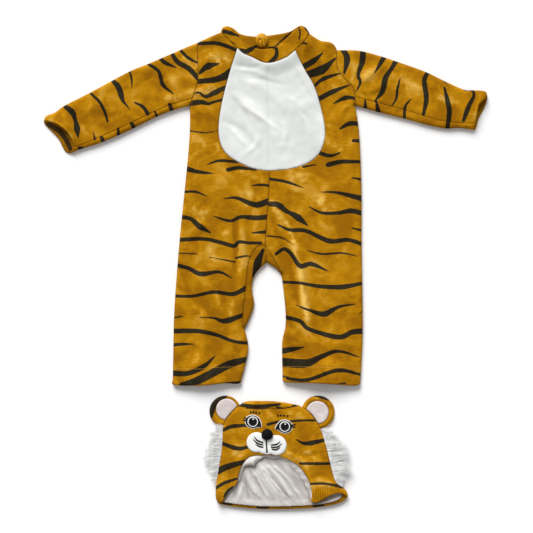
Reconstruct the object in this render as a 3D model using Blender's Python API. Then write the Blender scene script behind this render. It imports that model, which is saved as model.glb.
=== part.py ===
"""Child's plush tiger costume laid flat on its back: a jumpsuit with a stand collar and a white bib, and the
hat that goes with it, with round ears, an appliqued face, an arched face opening and a fur mane.

Frame: metres, +Z up, the floor at z = 0, +Y towards the collar, origin under the middle of the whole layout.
Tables are in millimetres. Left and right are as seen from above, the collar at the top of the view.
"""

import math

import bmesh
import bpy
import numpy as np
from mathutils import Matrix, Vector
from mathutils.geometry import delaunay_2d_cdt

MM = 0.001

# Cloth and how it lies.
PLUSH = 3.0  # wall of pile cloth
HEM_TURN = 0.5  # more wall where a hem is turned in
HEM_DEPTH = 28.0
COLLAR_WALL = 3.4  # collar cloth is folded double
LINING = 1.0
LINING_INSET = 8.5  # from the hat's outline
LINING_STEP = 14.0
SEAM_GAP = 0.4  # between pieces sewn together
SEAM_END_REACH = 30.0  # cloth is pressed thin where a seam runs out at a side
SEAM_END_THIN = 0.2
LAY_GAP = 0.3  # under a piece that lies on another
SUIT_MID = 4.4  # height of the jumpsuit's side seams above the floor
HAT_MID = 5.0
EDGE_ROUND = 6.5  # how far in from the outline a side has rounded over
SUIT_TOP = 8.8  # two walls that lie on each other, with a little air between
COLLAR_TOP = 13.5
HAT_TOP = 11.0
HAT_BRIM_RISE = 2.4
LEAST_TOP = 7.0  # the front never sinks to the back wall
SIDE_BLEND = 0.8  # how softly two sides share a place between them

# How finely the solids are divided.
EDGE_STEP = 15.0
FRONT_STEP = 15.0
BACK_STEP = 60.0
HAT_STEP = 12.0
EDGE_RINGS = (0.25, 1.0)  # shares of EDGE_ROUND
ROW_SHARE = math.sqrt(3) / 2  # rows of an even triangular lattice, as a share of its step
MOST_SLANT = 0.2  # corners flatter than this are drawn back as one straight run

# Curves of the jumpsuit, each a short list of (x, y) that a smooth line goes through.
SUIT_CURVES = {
    "left_side": [(-133, 282), (-133, 240), (-136, 196), (-143, 126), (-151, 47), (-158, -40), (-161, -93),
                  (-162, -145), (-163, -197)],
    "left_hem": [(-163, -197), (-159, -205), (-116, -206), (-72, -202), (-49, -203), (-43, -197)],
    "left_calf": [(-43, -197), (-36, -170), (-31, -142), (-34, -122), (-38, -108)],
    "left_thigh_fold": [(-38, -108), (-30, -93), (-21, -66), (-24, -44), (-24, -28), (-17, -10), (1, 8)],
    "left_inseam": [(-1, 38), (-14, 36), (-25, 22), (-31, 2), (-35, -36), (-39, -72), (-41, -95), (-38, -108)],
    "right_side": [(156, 282), (162, 240), (165, 191), (167, 122), (167, 44), (168, -25), (169, -108),
                   (167, -163), (165, -198)],
    "right_hem": [(165, -198), (161, -205), (147, -206), (94, -202), (36, -200), (29, -193)],
    "right_leg_edge": [(29, -193), (28, -145), (29, -126), (34, -103), (34, -75), (30, -36), (27, -14)],
    "right_thigh_fold": [(27, -14), (18, -3), (1, 8)],
    "right_inseam": [(-1, 38), (5, 28), (12.5, 15.5), (20.5, 1.5), (27, -14)],
    "crotch": [(1, 8), (0, 22), (-1, 38)],
    "front_seam": [(6, 168), (5, 128), (2, 86), (0, 58), (-1, 38)],
    "back_seam": [(0, 372), (4, 250), (4, 128), (1, 8)],
    "bib_left": [(-50, 382), (-64, 338), (-78, 282), (-83, 240), (-78, 212), (-64, 193), (-36, 177), (-14, 170),
                 (6, 168)],
    "bib_right": [(51, 378), (67, 346), (84, 316), (95, 282), (103, 243), (101, 217), (90, 195), (70, 180),
                  (40, 171), (6, 168)],
    "bib_neck": [(-50, 382), (-40, 373), (-24, 366), (-8, 358), (3, 356), (16, 358), (34, 365), (43, 371),
                 (51, 378)],
    "left_neck": [(-50, 382), (-66, 397), (-79, 410)],
    "right_neck": [(51, 378), (66, 393), (77, 407)],
    "left_shoulder": [(-79, 410), (-98, 402), (-120, 392)],
    "right_shoulder": [(77, 407), (86, 401), (97, 395), (112, 393), (120, 387), (124, 379)],
    "left_armhole": [(-120, 392), (-119, 359), (-119, 327), (-126, 301), (-133, 282)],
    "right_armhole": [(124, 379), (124, 350), (132, 336), (142, 324), (154, 309), (156, 282)],
    "left_sleeve_top": [(-120, 392), (-162, 374), (-206, 355), (-240, 341), (-307, 305), (-352, 282),
                        (-369, 270), (-384, 264), (-388, 257)],
    "left_cuff_back": [(-388, 257), (-385, 249), (-363, 226), (-353, 207), (-347, 201), (-338, 200)],
    "left_cuff_front": [(-388, 257), (-370, 253), (-355, 244), (-345, 235), (-338, 223), (-335, 209)],
    "left_cuff_strip": [(-335, 209), (-338, 200)],
    "left_sleeve_under": [(-338, 200), (-327, 205), (-287, 218), (-245, 236), (-190, 263), (-162, 274),
                          (-133, 282)],
    "left_underarm": [(-129, 294), (-162, 284), (-190, 273), (-245, 247), (-287, 228), (-320, 214),
                      (-335, 209)],
    "right_sleeve_top": [(124, 379), (162, 378), (195, 370), (229, 359), (279, 341), (312, 325), (346, 310),
                         (363, 309), (383, 307), (387, 299)],
    "right_cuff_back": [(387, 299), (382, 282), (371, 260), (366, 243), (361, 240)],
    "right_cuff_front": [(387, 299), (379, 292), (371, 284), (368, 274), (366, 263), (364, 250)],
    "right_cuff_strip": [(364, 250), (361, 240)],
    "right_sleeve_under": [(361, 240), (335, 243), (315, 242), (287, 247), (243, 259), (195, 271), (156, 282)],
    "right_underarm": [(156, 297), (194, 287), (243, 274), (299, 257), (331, 252), (364, 250)],
    "collar_front_edge": [(-69, 421), (-46, 396), (-25, 383), (-7, 379), (17, 382), (31, 392), (46, 408),
                          (62, 422)],
    "collar_back_edge": [(-69, 421), (-57, 416), (-44, 406), (-19, 402), (7, 404), (40, 410), (54, 418),
                         (62, 422)],
    "collar_left_end": [(-69, 421), (-76, 418), (-79, 410)],
    "collar_right_end": [(62, 422), (70, 418), (77, 407)],
    "back_neck": [(-79, 410), (-50, 388), (0, 372), (50, 386), (77, 407)],
}

# Folds of the jumpsuit's front: a smooth ridge (rise > 0) or trough from start through middle to end.
FLANK = 1.15  # where a fold's sides end, as a share of its half width
SUIT_FOLDS = [
    dict(start=(-54, 96), middle=(-53, 40), end=(-56, -12), half=7, rise=-1.6),
    dict(start=(-44, 84), middle=(-42, 20), end=(-47, -62), half=8, rise=3.6),
    dict(start=(-96, -28), middle=(-88, -58), end=(-78, -92), half=9, rise=-1.6),
    dict(start=(-66, -38), middle=(-62, -70), end=(-52, -104), half=9, rise=2.6),
    dict(start=(40, 54), middle=(58, -6), end=(76, -108), half=8, rise=4.2),
    dict(start=(8, 96), middle=(24, 44), end=(40, -14), half=6, rise=-1.5),
    dict(start=(10, 112), middle=(19, 88), end=(30, 58), half=6, rise=2.6),
    dict(start=(-44, 330), middle=(-4, 312), end=(44, 276), half=9, rise=2.0),
    dict(start=(-50, 296), middle=(-6, 262), end=(24, 214), half=9, rise=2.4),
    dict(start=(-112, 352), middle=(-98, 366), end=(-78, 372), half=9, rise=2.6),
    dict(start=(-130, 302), middle=(-104, 312), end=(-84, 318), half=8, rise=2.8),
    dict(start=(164, 318), middle=(182, 336), end=(200, 350), half=8, rise=3.0),
    dict(start=(172, 300), middle=(196, 314), end=(220, 332), half=8, rise=2.4),
    dict(start=(-150, 300), middle=(-160, 320), end=(-172, 344), half=9, rise=2.0),
    dict(start=(104, 168), middle=(108, 100), end=(100, 20), half=13, rise=1.6),
]

# Where a tube or the neck gapes: the front wall rises towards this place.
MOUTHS = [
    dict(at=(-352, 240), reach=44, rise=7.6),
    dict(at=(372, 274), reach=42, rise=7.4),
    dict(at=(-104, -206), reach=66, rise=6.6),
    dict(at=(98, -204), reach=72, rise=10.4),
]
NECK_RISE_REACH = 26.0

# Curves of the hat.
HAT_CURVES = {
    "crown": [(-49, -243), (-34, -235), (-6, -234), (19, -235), (40, -238), (58, -242)],
    "right_side": [(58, -242), (70, -249), (83, -262), (95, -282), (102, -300), (110, -329), (117, -359),
                   (123, -376), (133, -384), (141, -392), (143, -400)],
    "left_side": [(-85, -410), (-88, -401), (-87, -376), (-83, -350), (-79, -325), (-77, -304), (-76, -283),
                  (-72, -270), (-61, -255), (-49, -243)],
    "back_hem": [(143, -400), (131, -410), (104, -417), (62, -421), (-2, -422), (-44, -419), (-77, -414),
                 (-85, -410)],
    "crown_seam": [(-49, -243), (-32, -246), (-12, -247), (4, -246), (15, -248), (34, -247), (58, -242)],
    "left_flap_hem": [(-85, -410), (-77, -408), (-66, -392), (-52, -378)],
    "arch": [(-52, -378), (-48, -360), (-41, -343), (-28, -330), (-4, -327.5), (20, -329), (40, -336),
             (57, -346), (69, -361), (77, -378), (80, -394), (79, -408)],
    "right_flap_hem": [(79, -408), (88, -410), (104, -402), (117, -396), (131, -394), (143, -400)],
}

# The hat's small pieces.
EARS = [
    dict(name="left_ear", centre=(-71.5, -252.5), radius=27.5, inner=(-69.5, -249.5), inner_radius=17.5),
    dict(name="right_ear", centre=(91.0, -254.0), radius=29.0, inner=(92.5, -252.5), inner_radius=18.5),
]
EAR_TOP = 7.0
EAR_INNER_THICK = 1.6
EAR_INNER_CLEAR = 3.5  # between the inner ear and the hat's side
FACE_TILT = math.radians(-8.5)  # the face leans to the right
FACE_CENTRE = (2.0, -292.0)  # the nose, which the face turns about
MUZZLE_LOBE = dict(out=17.5, down=16.5, across=19.5, deep=18.0)  # one on each side
MUZZLE_THICK = 3.0
NOSE = dict(across=10.0, deep=9.5, high=6.5, sink=0.2)  # sink is the share of its height below its middle
EYES = [
    dict(name="left_eye", out=-27.0, up=18.5, inward=1),
    dict(name="right_eye", out=27.5, up=18.5, inward=-1),
]
EYE_HALF = (15.0, 9.5)
EYE_CORNER = (2.0, -5.5)  # how far the inner corner is drawn out and down
EYE_THICK = 1.2
MANE_TUFTS = 10
TUFT_SWING = (0.8, 1.22)  # a notch's and a tuft's share of the reach
MANE_ROOT = 0.6  # from the hat's side
MANE_TOP = 13.0  # at its root
MANE_TIP = 2.5
MANE_FALL = 26.0  # where it has come down
# Reach is (place along the side, how far the fur stands out).
MANES = {
    "left_mane": dict(side="left_side", from_top=True,
                      reach=[(0.26, 3), (0.36, 13), (0.5, 20), (0.66, 21), (0.8, 12), (0.86, 3)]),
    "right_mane": dict(side="right_side", from_top=False,
                       reach=[(0.33, 4), (0.38, 14), (0.5, 24), (0.66, 25), (0.8, 22), (0.88, 8)]),
}
LINING_EDGE = dict(under=4.0, width=5.0, flap=7.0, flap_at=0.22, flap_size=0.14)  # turned out in one place
LINING_CREASES = [
    dict(start=(-10, -340), middle=(24, -362), end=(52, -398), half=7, rise=2.0),
    dict(start=(-30, -352), middle=(-8, -380), end=(6, -404), half=6, rise=2.0),
    dict(start=(12, -338), middle=(44, -352), end=(66, -382), half=7, rise=1.8),
    dict(start=(-56, -404), middle=(-40, -384), end=(-28, -364), half=6, rise=1.8),
]
BACK_TAB = dict(centre=(-7, 395), across=11.0, deep=12.0, high=5.0, gathers=9, depth=0.12, sink=0.55)

COLOURS = {
    "tiger_plush": dict(rgb=(0.52, 0.27, 0.02), roughness=0.9),
    "white_plush": dict(rgb=(0.82, 0.83, 0.82), roughness=0.9),
    "white_lining": dict(rgb=(0.8, 0.78, 0.77), roughness=0.6),
    "white_fur": dict(rgb=(0.85, 0.86, 0.84), roughness=0.9),
    "black_plush": dict(rgb=(0.015, 0.014, 0.013), roughness=0.9),
    "eye_stitching": dict(rgb=(0.05, 0.05, 0.05), roughness=0.5),
}


# Plane geometry, in millimetres.
def smooth_line(points, step):
    """A Catmull-Rom line through the points, as evenly spaced points about step apart."""
    p = np.array(points, float)
    if len(p) > 2:
        ends = np.vstack([2 * p[0] - p[1], p, 2 * p[-1] - p[-2]])
        t = np.linspace(0, 1, 12, endpoint=False)[:, None]
        spans = []
        for a, b, c, d in zip(ends[:-3], ends[1:-2], ends[2:-1], ends[3:]):
            bend = (2 * a - 5 * b + 4 * c - d) * t**2 + (3 * b - a - 3 * c + d) * t**3
            spans.append(0.5 * (2 * b + (c - a) * t + bend))
        p = np.vstack([*spans, p[-1:]])
    return evenly(p, step)


def evenly(p, step):
    along = np.concatenate([[0], np.cumsum(np.linalg.norm(np.diff(p, axis=0), axis=1))])
    at = np.linspace(0, along[-1], max(2, math.ceil(along[-1] / step) + 1))
    return np.stack([np.interp(at, along, p[:, k]) for k in (0, 1)], axis=1)


def left_of(line):
    """The unit vector to the left of a line at each of its points."""
    way = np.gradient(line, axis=0)
    return np.stack([-way[:, 1], way[:, 0]], axis=1) / np.linalg.norm(way, axis=1)[:, None]


def out_of(edge):
    """The unit vector out of a closed anticlockwise edge at each of its points."""
    way = np.roll(edge, -1, axis=0) - np.roll(edge, 1, axis=0)
    return np.stack([way[:, 1], -way[:, 0]], axis=1) / np.linalg.norm(way, axis=1)[:, None]


def graded(p, start_on_edge, end_on_edge):
    """More points where the line meets a rounded side, so that its rim follows the round."""
    fine = evenly(p, 0.5)
    along = np.concatenate([[0], np.cumsum(np.linalg.norm(np.diff(fine, axis=0), axis=1))])
    total = along[-1]
    rings = [EDGE_ROUND * share for share in EDGE_RINGS]
    low = rings[-1] if start_on_edge else 0
    high = total - (rings[-1] if end_on_edge else 0)
    at = list(np.linspace(low, high, max(2, math.ceil((high - low) / EDGE_STEP) + 1)))
    if start_on_edge:
        at = [0, *rings[:-1], *at]
    if end_on_edge:
        at = [*at, *(total - ring for ring in reversed(rings[:-1])), total]
    return np.stack([np.interp(at, along, fine[:, k]) for k in (0, 1)], axis=1)


def nearest(points, line):
    """For each point its distance from the line, and the unit vector from the line's nearest place to it."""
    a, b = line[:-1], line[1:]
    span = b - a
    length = (span**2).sum(1)
    best = np.full(len(points), np.inf)
    away = np.zeros((len(points), 2))
    for start, step, size in zip(a, span, length):
        share = np.clip(((points - start) @ step) / size, 0, 1)
        offset = points - start - share[:, None] * step
        far = np.linalg.norm(offset, axis=1)
        left = np.array([-step[1], step[0]]) / math.sqrt(size)
        unit = np.where(far[:, None] > 1e-4, offset / np.maximum(far, 1e-9)[:, None], left)
        closer = far < best
        best = np.where(closer, far, best)
        away = np.where(closer[:, None], unit, away)
    return best, away


def inside(points, polygon):
    x, y = points[:, 0], points[:, 1]
    found = np.zeros(len(points), bool)
    for (x0, y0), (x1, y1) in zip(polygon, np.roll(polygon, -1, axis=0)):
        crosses = (y0 > y) != (y1 > y)
        found ^= crosses & (x < (x1 - x0) * (y - y0) / (y1 - y0 + 1e-12) + x0)
    return found


def area(polygon):
    x, y = polygon.T
    return 0.5 * float((x * np.roll(y, -1) - np.roll(x, -1) * y).sum())


class Outline:
    """A closed outline of a piece, made of curves: seams are drawn back by half the seam gap."""

    def __init__(self, curves, parts):
        points, tags = [], []
        for name, kind in parts:
            line = curves[name.lstrip("-")]
            line = line[::-1] if name.startswith("-") else line
            points += list(line[:-1])
            tags += [kind] * (len(line) - 1)
        points = np.array(points)
        if area(points) < 0:
            points, tags = points[::-1], tags[-2::-1] + tags[-1:]
        self.tags = tags
        self.points = self.drawn_back(points, tags)

    @staticmethod
    def drawn_back(points, tags):
        step = np.roll(points, -1, axis=0) - points
        step /= np.linalg.norm(step, axis=1)[:, None]
        inward = np.stack([-step[:, 1], step[:, 0]], axis=1)
        back = np.array([SEAM_GAP / 2 if tag == "seam" else 0.0 for tag in tags])
        moved = points.copy()
        for i in range(len(points)):
            rows = np.array([inward[i - 1], inward[i]])
            wanted = np.array([back[i - 1], back[i]])
            if abs(np.linalg.det(rows)) < MOST_SLANT:
                moved[i] += (inward[i - 1] + inward[i]) / 2 * wanted.max()
            else:
                moved[i] += np.linalg.solve(rows, wanted)
        return moved

    def ring_points(self, distances):
        """Points along the rounded sides, drawn in by each distance."""
        found = []
        count = len(self.points)
        for i in range(count):
            if self.tags[i - 1] != "round" or self.tags[i] != "round":
                continue
            step = self.points[(i + 1) % count] - self.points[i - 1]
            inward = np.array([-step[1], step[0]]) / np.linalg.norm(step)
            found += [self.points[i] + inward * d for d in distances]
        return np.array(found).reshape(-1, 2)


def lattice(outline, step):
    """Triangular lattice points inside the outline, clear of its edge and of its rounded sides."""
    low, high = outline.points.min(0), outline.points.max(0)
    rows = int((high[1] - low[1]) / (step * ROW_SHARE)) + 2
    columns = int((high[0] - low[0]) / step) + 2
    j, i = np.mgrid[0:rows, 0:columns]
    grid = np.stack([low[0] + (i + 0.5 * (j % 2)) * step, low[1] + j * step * ROW_SHARE], axis=-1)
    grid = grid.reshape(-1, 2)
    grid = grid[inside(grid, outline.points)]
    closed = np.vstack([outline.points, outline.points[:1]])
    room = np.full(len(grid), np.inf)
    for i, tag in enumerate(outline.tags):
        clear = min(step, EDGE_STEP) * 0.5 + (EDGE_ROUND if tag == "round" else 0)
        room = np.minimum(room, nearest(grid, closed[i:i + 2])[0] - clear)
    return grid[room > 0]


def triangulated(outline, step, more=()):
    """(points, triangles) of the outline's inside, anticlockwise from above."""
    rings = outline.ring_points([EDGE_ROUND * share for share in EDGE_RINGS])
    closed = np.vstack([outline.points, outline.points[:1]])
    if len(rings):
        rings = rings[inside(rings, outline.points)]
        rings = rings[nearest(rings, closed)[0] > EDGE_ROUND * EDGE_RINGS[0] * 0.8]
    extra = np.array(more, float).reshape(-1, 2)
    if len(extra):
        extra = extra[inside(extra, outline.points)]
        extra = extra[nearest(extra, closed)[0] > EDGE_ROUND + 1.5]
    grid = lattice(outline, step)
    if len(extra) and len(grid):
        gaps = np.linalg.norm(grid[:, None] - extra[None], axis=2).min(1)
        grid = grid[gaps > step * 0.45]
    count = len(outline.points)
    every = np.vstack([outline.points, rings, extra, grid])
    edges = [(i, (i + 1) % count) for i in range(count)]
    made = delaunay_2d_cdt([Vector(p) for p in every], edges, [], 1, 1e-4)
    points = np.array([tuple(v) for v in made[0]])
    return points, [tuple(face) for face in made[2]]


# Heights of the walls above the floor.
def ease(x):
    x = np.clip(x, 0, 1)
    return x * x * (3 - 2 * x)


def fold_height(points, folds):
    height = np.zeros(len(points))
    for fold in folds:
        line = smooth_line([fold["start"], fold["middle"], fold["end"]], 6.0)
        far, _ = nearest(points, line)
        ends = np.minimum(*(np.linalg.norm(points - np.array(fold[k]), axis=1) for k in ("start", "end")))
        taper = 0.35 + 0.65 * ease(ends / (2.5 * fold["half"]))
        height += fold["rise"] * taper * np.exp(-((far / fold["half"]) ** 2))
    return height


def suit_top(points):
    height = SUIT_TOP + fold_height(points, SUIT_FOLDS)
    for mouth in MOUTHS:
        far = np.linalg.norm(points - np.array(mouth["at"]), axis=1)
        height += mouth["rise"] * (1 - ease(far / mouth["reach"]))
    far, _ = nearest(points, NECK_LINE)
    over = points[:, 1] > np.interp(points[:, 0], NECK_LINE[:, 0], NECK_LINE[:, 1])
    share = np.where(over, 1.0, 1 - ease(far / NECK_RISE_REACH))
    height += (COLLAR_TOP - SUIT_TOP) * share
    return np.maximum(height, LEAST_TOP)


def hat_top(points):
    return HAT_TOP + HAT_BRIM_RISE * ease((-352 - points[:, 1]) / 36)


def slope(top, points, reach=0.5):
    changes = [top(points + way) - top(points - way) for way in (np.array([reach, 0]), np.array([0, reach]))]
    return np.stack(changes, axis=1) / (2 * reach)


def wall_points(points, sides, top, upper, start):
    """Outer points of a wall over the plane points, and the unit vectors that point out of the cloth.

    The wall starts at height start on the rounded sides. It goes in along the garment's own normal, not along
    each panel's, so that panels meet squarely at their seams.
    """
    found = [nearest(points, side) for side in sides]
    far = np.min([each for each, _ in found], axis=0)
    away = sum(unit * np.exp((far - each) / SIDE_BLEND)[:, None] for each, unit in found)
    away /= np.maximum(np.linalg.norm(away, axis=1), 1e-6)[:, None]
    share = np.clip(np.where(far < 0.01, 0.0, far) / EDGE_ROUND, 0, 1)
    curve = np.sqrt(np.maximum(1 - (1 - share) ** 2, 0))
    rise = (top(points) - start) if upper else -start
    height = start + rise * curve
    tilt = slope(top, points) if upper else np.zeros((len(points), 2))
    flat = -(curve**2)[:, None] * tilt - (np.abs(rise) / EDGE_ROUND * (1 - share))[:, None] * away
    out = np.column_stack([flat, curve if upper else -curve])
    out /= np.linalg.norm(out, axis=1)[:, None]
    return np.column_stack([points, height]), out


# Solids.
def add_mesh(name, points, faces, material):
    mesh = bpy.data.meshes.new(name)
    mesh.from_pydata([tuple(p * MM) for p in points], [], faces)
    mesh.validate()
    add_object(name, mesh, material)


def add_object(name, mesh, material, at=(0, 0, 0)):
    mesh.materials.append(material)
    mesh.shade_smooth()
    piece = bpy.data.objects.new(name, mesh)
    piece.location = Vector(at) * MM
    COSTUME.objects.link(piece)


def pad_mesh(name, columns, rows, shaped):
    """A ball's mesh in metres, each point moved to where shaped puts it in millimetres."""
    mesh = bpy.data.meshes.new(name)
    ball = bmesh.new()
    bmesh.ops.create_uvsphere(ball, u_segments=columns, v_segments=rows, radius=1.0)
    for vertex in ball.verts:
        vertex.co = shaped(vertex.co)
    ball.transform(Matrix.Scale(MM, 4))
    ball.to_mesh(mesh)
    ball.free()
    return mesh


def welded(points, out, faces):
    """One surface from several patches: points that fall together are made one."""
    key = np.round(points, 3)
    _, first, index = np.unique(key, axis=0, return_index=True, return_inverse=True)
    index = index.reshape(-1)
    faces = [tuple(int(index[i]) for i in face) for face in faces]
    return points[first], out[first], [face for face in faces if len(set(face)) == 3]


def rim_edges(faces):
    """The edges that only one face has, in that face's direction."""
    edges = {(a, b) for face in faces for a, b in zip(face, face[1:] + face[:1])}
    return [(a, b) for a, b in edges if (b, a) not in edges]


def cloth_wall(name, patches, thickness, material):
    """A closed wall of cloth from patches of its outer surface, each (points, triangles, outward, upper)."""
    points, out, faces, count = [], [], [], 0
    for patch_points, triangles, outward, upper in patches:
        points.append(patch_points)
        out.append(outward)
        faces += [tuple(i + count for i in (face if upper else face[::-1])) for face in triangles]
        count += len(patch_points)
    points, out, faces = welded(np.vstack(points), np.vstack(out), faces)
    inner = points - out * thickness(points[:, :2])[:, None]
    size = len(points)
    rim = [(b, a, a + size, b + size) for a, b in rim_edges(faces)]
    every = faces + [tuple(i + size for i in face[::-1]) for face in faces] + rim
    add_mesh(name, np.vstack([points, inner]), every, material)


def layer(name, outline, step, bottom, top, material, more=()):
    """A closed solid between two heights over an outline, such as a pad or a lining."""
    points, faces = triangulated(outline, step, more)
    low = np.column_stack([points, bottom(points)])
    high = np.column_stack([points, top(points)])
    size = len(points)
    rim = [(b, a, a + size, b + size) for a, b in rim_edges(faces)]
    every = faces + [tuple(i + size for i in face[::-1]) for face in faces] + rim
    add_mesh(name, np.vstack([high, low]), every, material)


def plush_thickness(mouth_lines, seam_ends):
    """The wall: thicker at the turned hems, thinner where a seam runs out."""

    def thickness(points):
        wall = np.full(len(points), PLUSH)
        if mouth_lines:
            far = np.min([nearest(points, line)[0] for line in mouth_lines], axis=0)
            wall += HEM_TURN * (1 - ease((far - HEM_DEPTH * 0.7) / (HEM_DEPTH * 0.3)))
        near = np.min([np.linalg.norm(points - end, axis=1) for end in seam_ends], axis=0)
        return wall * (SEAM_END_THIN + (1 - SEAM_END_THIN) * ease(near / SEAM_END_REACH))

    return thickness


def fold_points(folds, step):
    """Points along each fold and on both its flanks, so that the solids show it."""
    found = []
    for fold in folds:
        line = smooth_line([fold["start"], fold["middle"], fold["end"]], step)
        flank = left_of(line) * fold["half"] * FLANK
        found += [line, line + flank, line - flank]
    return np.vstack(found)


def fill_material(name):
    look = COLOURS[name]
    material = bpy.data.materials.new(name)
    material.use_nodes = True
    shader = material.node_tree.nodes["Principled BSDF"]
    shader.inputs["Base Color"].default_value = (*look["rgb"], 1)
    shader.inputs["Roughness"].default_value = look["roughness"]
    shader.inputs["Metallic"].default_value = 0.0
    return material


# The jumpsuit.
def suit_lines():
    """The jumpsuit's curves as points, finer where they meet a rounded side."""
    ends_on_side = {
        "left_armhole": (1, 1), "right_armhole": (1, 1), "left_neck": (0, 1), "right_neck": (0, 1),
        "left_hem": (1, 1), "right_hem": (1, 1), "left_cuff_back": (1, 1), "right_cuff_back": (1, 1),
        "left_cuff_front": (1, 0), "right_cuff_front": (1, 0), "crotch": (1, 0), "left_inseam": (0, 1),
        "right_inseam": (0, 1), "back_neck": (1, 1), "collar_front_edge": (1, 1), "collar_back_edge": (1, 1),
        "back_seam": (0, 1),
    }
    lines = {}
    for name, points in SUIT_CURVES.items():
        line = smooth_line(points, 2.0)
        start, end = ends_on_side.get(name, (0, 0))
        lines[name] = graded(line, start, end)
    # An armhole and an underarm seam meet in one point, and so do the neck and the seam down the back.
    for side in ("left", "right"):
        split_at(lines, f"{side}_armhole", lines[f"{side}_underarm"][0])
    split_at(lines, "back_neck", lines["back_seam"][0])
    return lines


def split_at(lines, name, point):
    """Puts a point on a line, and keeps its two halves as NAME_a and NAME_b."""
    line = lines[name].copy()
    at = int(np.linalg.norm(line - point, axis=1).argmin())
    line[at] = point
    lines[name], lines[name + "_a"], lines[name + "_b"] = line, line[:at + 1], line[at:]


def suit_sides(lines):
    """The rounded sides of the whole jumpsuit, each directed so that the cloth is on its left."""
    runs = [
        ["left_side"],
        ["left_calf", "left_thigh_fold", "-right_thigh_fold", "-right_leg_edge"],
        ["-right_side"],
        ["collar_left_end", "left_shoulder", "left_sleeve_top"],
        ["left_sleeve_under"],
        ["-right_sleeve_under"],
        ["-right_sleeve_top", "-right_shoulder", "-collar_right_end"],
    ]
    sides = []
    for run in runs:
        joined = [lines[n.lstrip("-")][::-1] if n.startswith("-") else lines[n] for n in run]
        sides.append(np.vstack([joined[0], *(line[1:] for line in joined[1:])]))
    return sides


def build_suit(materials):
    lines = suit_lines()
    sides = suit_sides(lines)
    tiger, white = materials["tiger_plush"], materials["white_plush"]
    folds = fold_points(SUIT_FOLDS, FRONT_STEP)
    mouth_names = ("hem", "cuff_back", "cuff_front")
    mouths = [lines[f"{side}_{name}"] for side in ("left", "right") for name in mouth_names]
    plush = plush_thickness(mouths, [lines["left_inseam"][-1], lines["right_inseam"][-1]])

    def patch(parts, upper, shift=None):
        outline = Outline(lines, parts)
        points, faces = triangulated(outline, FRONT_STEP if upper else BACK_STEP, folds if upper else ())
        if shift is None:
            shift = SEAM_GAP / 2 if upper else -SEAM_GAP / 2
        outer, out = wall_points(points, sides, suit_top, upper, SUIT_MID + shift)
        return outer, faces, out, upper

    for side in ("left", "right"):
        leg_edge = "left_calf" if side == "left" else "right_leg_edge"
        thigh_fold = f"{side}_thigh_fold"
        neck_half = "back_neck_a" if side == "left" else "-back_neck_b"
        outer_side = [
            (f"-{leg_edge}", "round"), (f"-{side}_hem", "open"), (f"-{side}_side", "round"),
            (f"-{side}_armhole", "seam"), (f"-{side}_shoulder", "round"),
        ]
        cloth_wall(f"front_{side}", [
            patch([(f"bib_{side}", "seam"), ("front_seam", "seam"), (f"{side}_inseam", "seam"), *outer_side,
                   (f"-{side}_neck", "seam")], True),
        ], plush, tiger)
        # The back's inner thigh comes round to the front and lies there folded over.
        cloth_wall(f"back_{side}", [
            patch([(neck_half, "seam"), ("back_seam", "seam"), (f"-{thigh_fold}", "round"), *outer_side],
                  False),
            patch([("crotch", "seam"), (f"{side}_inseam", "seam"), (thigh_fold, "round")], True, -SEAM_GAP / 2),
        ], plush, tiger)
        cloth_wall(f"{side}_sleeve", [
            patch([(f"{side}_armhole_a", "seam"), (f"{side}_underarm", "seam"), (f"-{side}_cuff_front", "open"),
                   (f"-{side}_sleeve_top", "round")], True, 0.0),
            patch([(f"{side}_armhole_b", "seam"), (f"-{side}_sleeve_under", "round"),
                   (f"-{side}_cuff_strip", "open"), (f"-{side}_underarm", "seam")], True, 0.0),
            patch([(f"{side}_armhole", "seam"), (f"-{side}_sleeve_under", "round"),
                   (f"-{side}_cuff_back", "open"), (f"-{side}_sleeve_top", "round")], False, 0.0),
        ], plush, tiger)
    cloth_wall("bib", [
        patch([("bib_left", "seam"), ("-bib_right", "seam"), ("-bib_neck", "seam")], True),
    ], plush, white)
    ends = [("-collar_right_end", "round"), ("collar_left_end", "round")]
    cloth_wall("collar", [
        patch([("-left_neck", "seam"), ("bib_neck", "seam"), ("right_neck", "seam"), ends[0],
               ("-collar_front_edge", "open"), ends[1]], True, 0.0),
        patch([("back_neck_a", "seam"), ("back_neck_b", "seam"), ends[0],
               ("-collar_back_edge", "open"), ends[1]], False, 0.0),
    ], lambda points: np.full(len(points), COLLAR_WALL), tiger)


def build_back_tab(material):
    """The gathered end of the back fastening, which stands in the neck on the collar's back half."""

    def gathered(point):
        angle = math.atan2(point.y, point.x)
        gather = 1 - BACK_TAB["depth"] * (0.5 + 0.5 * math.cos(BACK_TAB["gathers"] * angle))
        return (point.x * BACK_TAB["across"] * gather, point.y * BACK_TAB["deep"] * gather,
                max(point.z, -BACK_TAB["sink"]) * BACK_TAB["high"])

    seat = COLLAR_WALL + LAY_GAP + BACK_TAB["sink"] * BACK_TAB["high"]
    add_object("back_tab", pad_mesh("back_tab", 36, 8, gathered), material, (*BACK_TAB["centre"], seat))


# The hat.
def ellipse(centre, across, deep, count, start=0.0):
    angles = start + np.linspace(0, 2 * math.pi, count, endpoint=False)
    return np.column_stack([centre[0] + across * np.cos(angles), centre[1] + deep * np.sin(angles)])


def face_point(out, up):
    """A place on the face, measured from the nose, on the hat."""
    c, s = math.cos(FACE_TILT), math.sin(FACE_TILT)
    return FACE_CENTRE[0] + out * c - up * s, FACE_CENTRE[1] + out * s + up * c


def plain_outline(points, kind="open"):
    """An outline from its own points, with nothing drawn back."""
    closed = np.vstack([points, points[:1]])
    return Outline({"loop": closed}, [("loop", kind)])


def closed_line(outline):
    return np.vstack([outline.points, outline.points[:1]])


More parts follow.
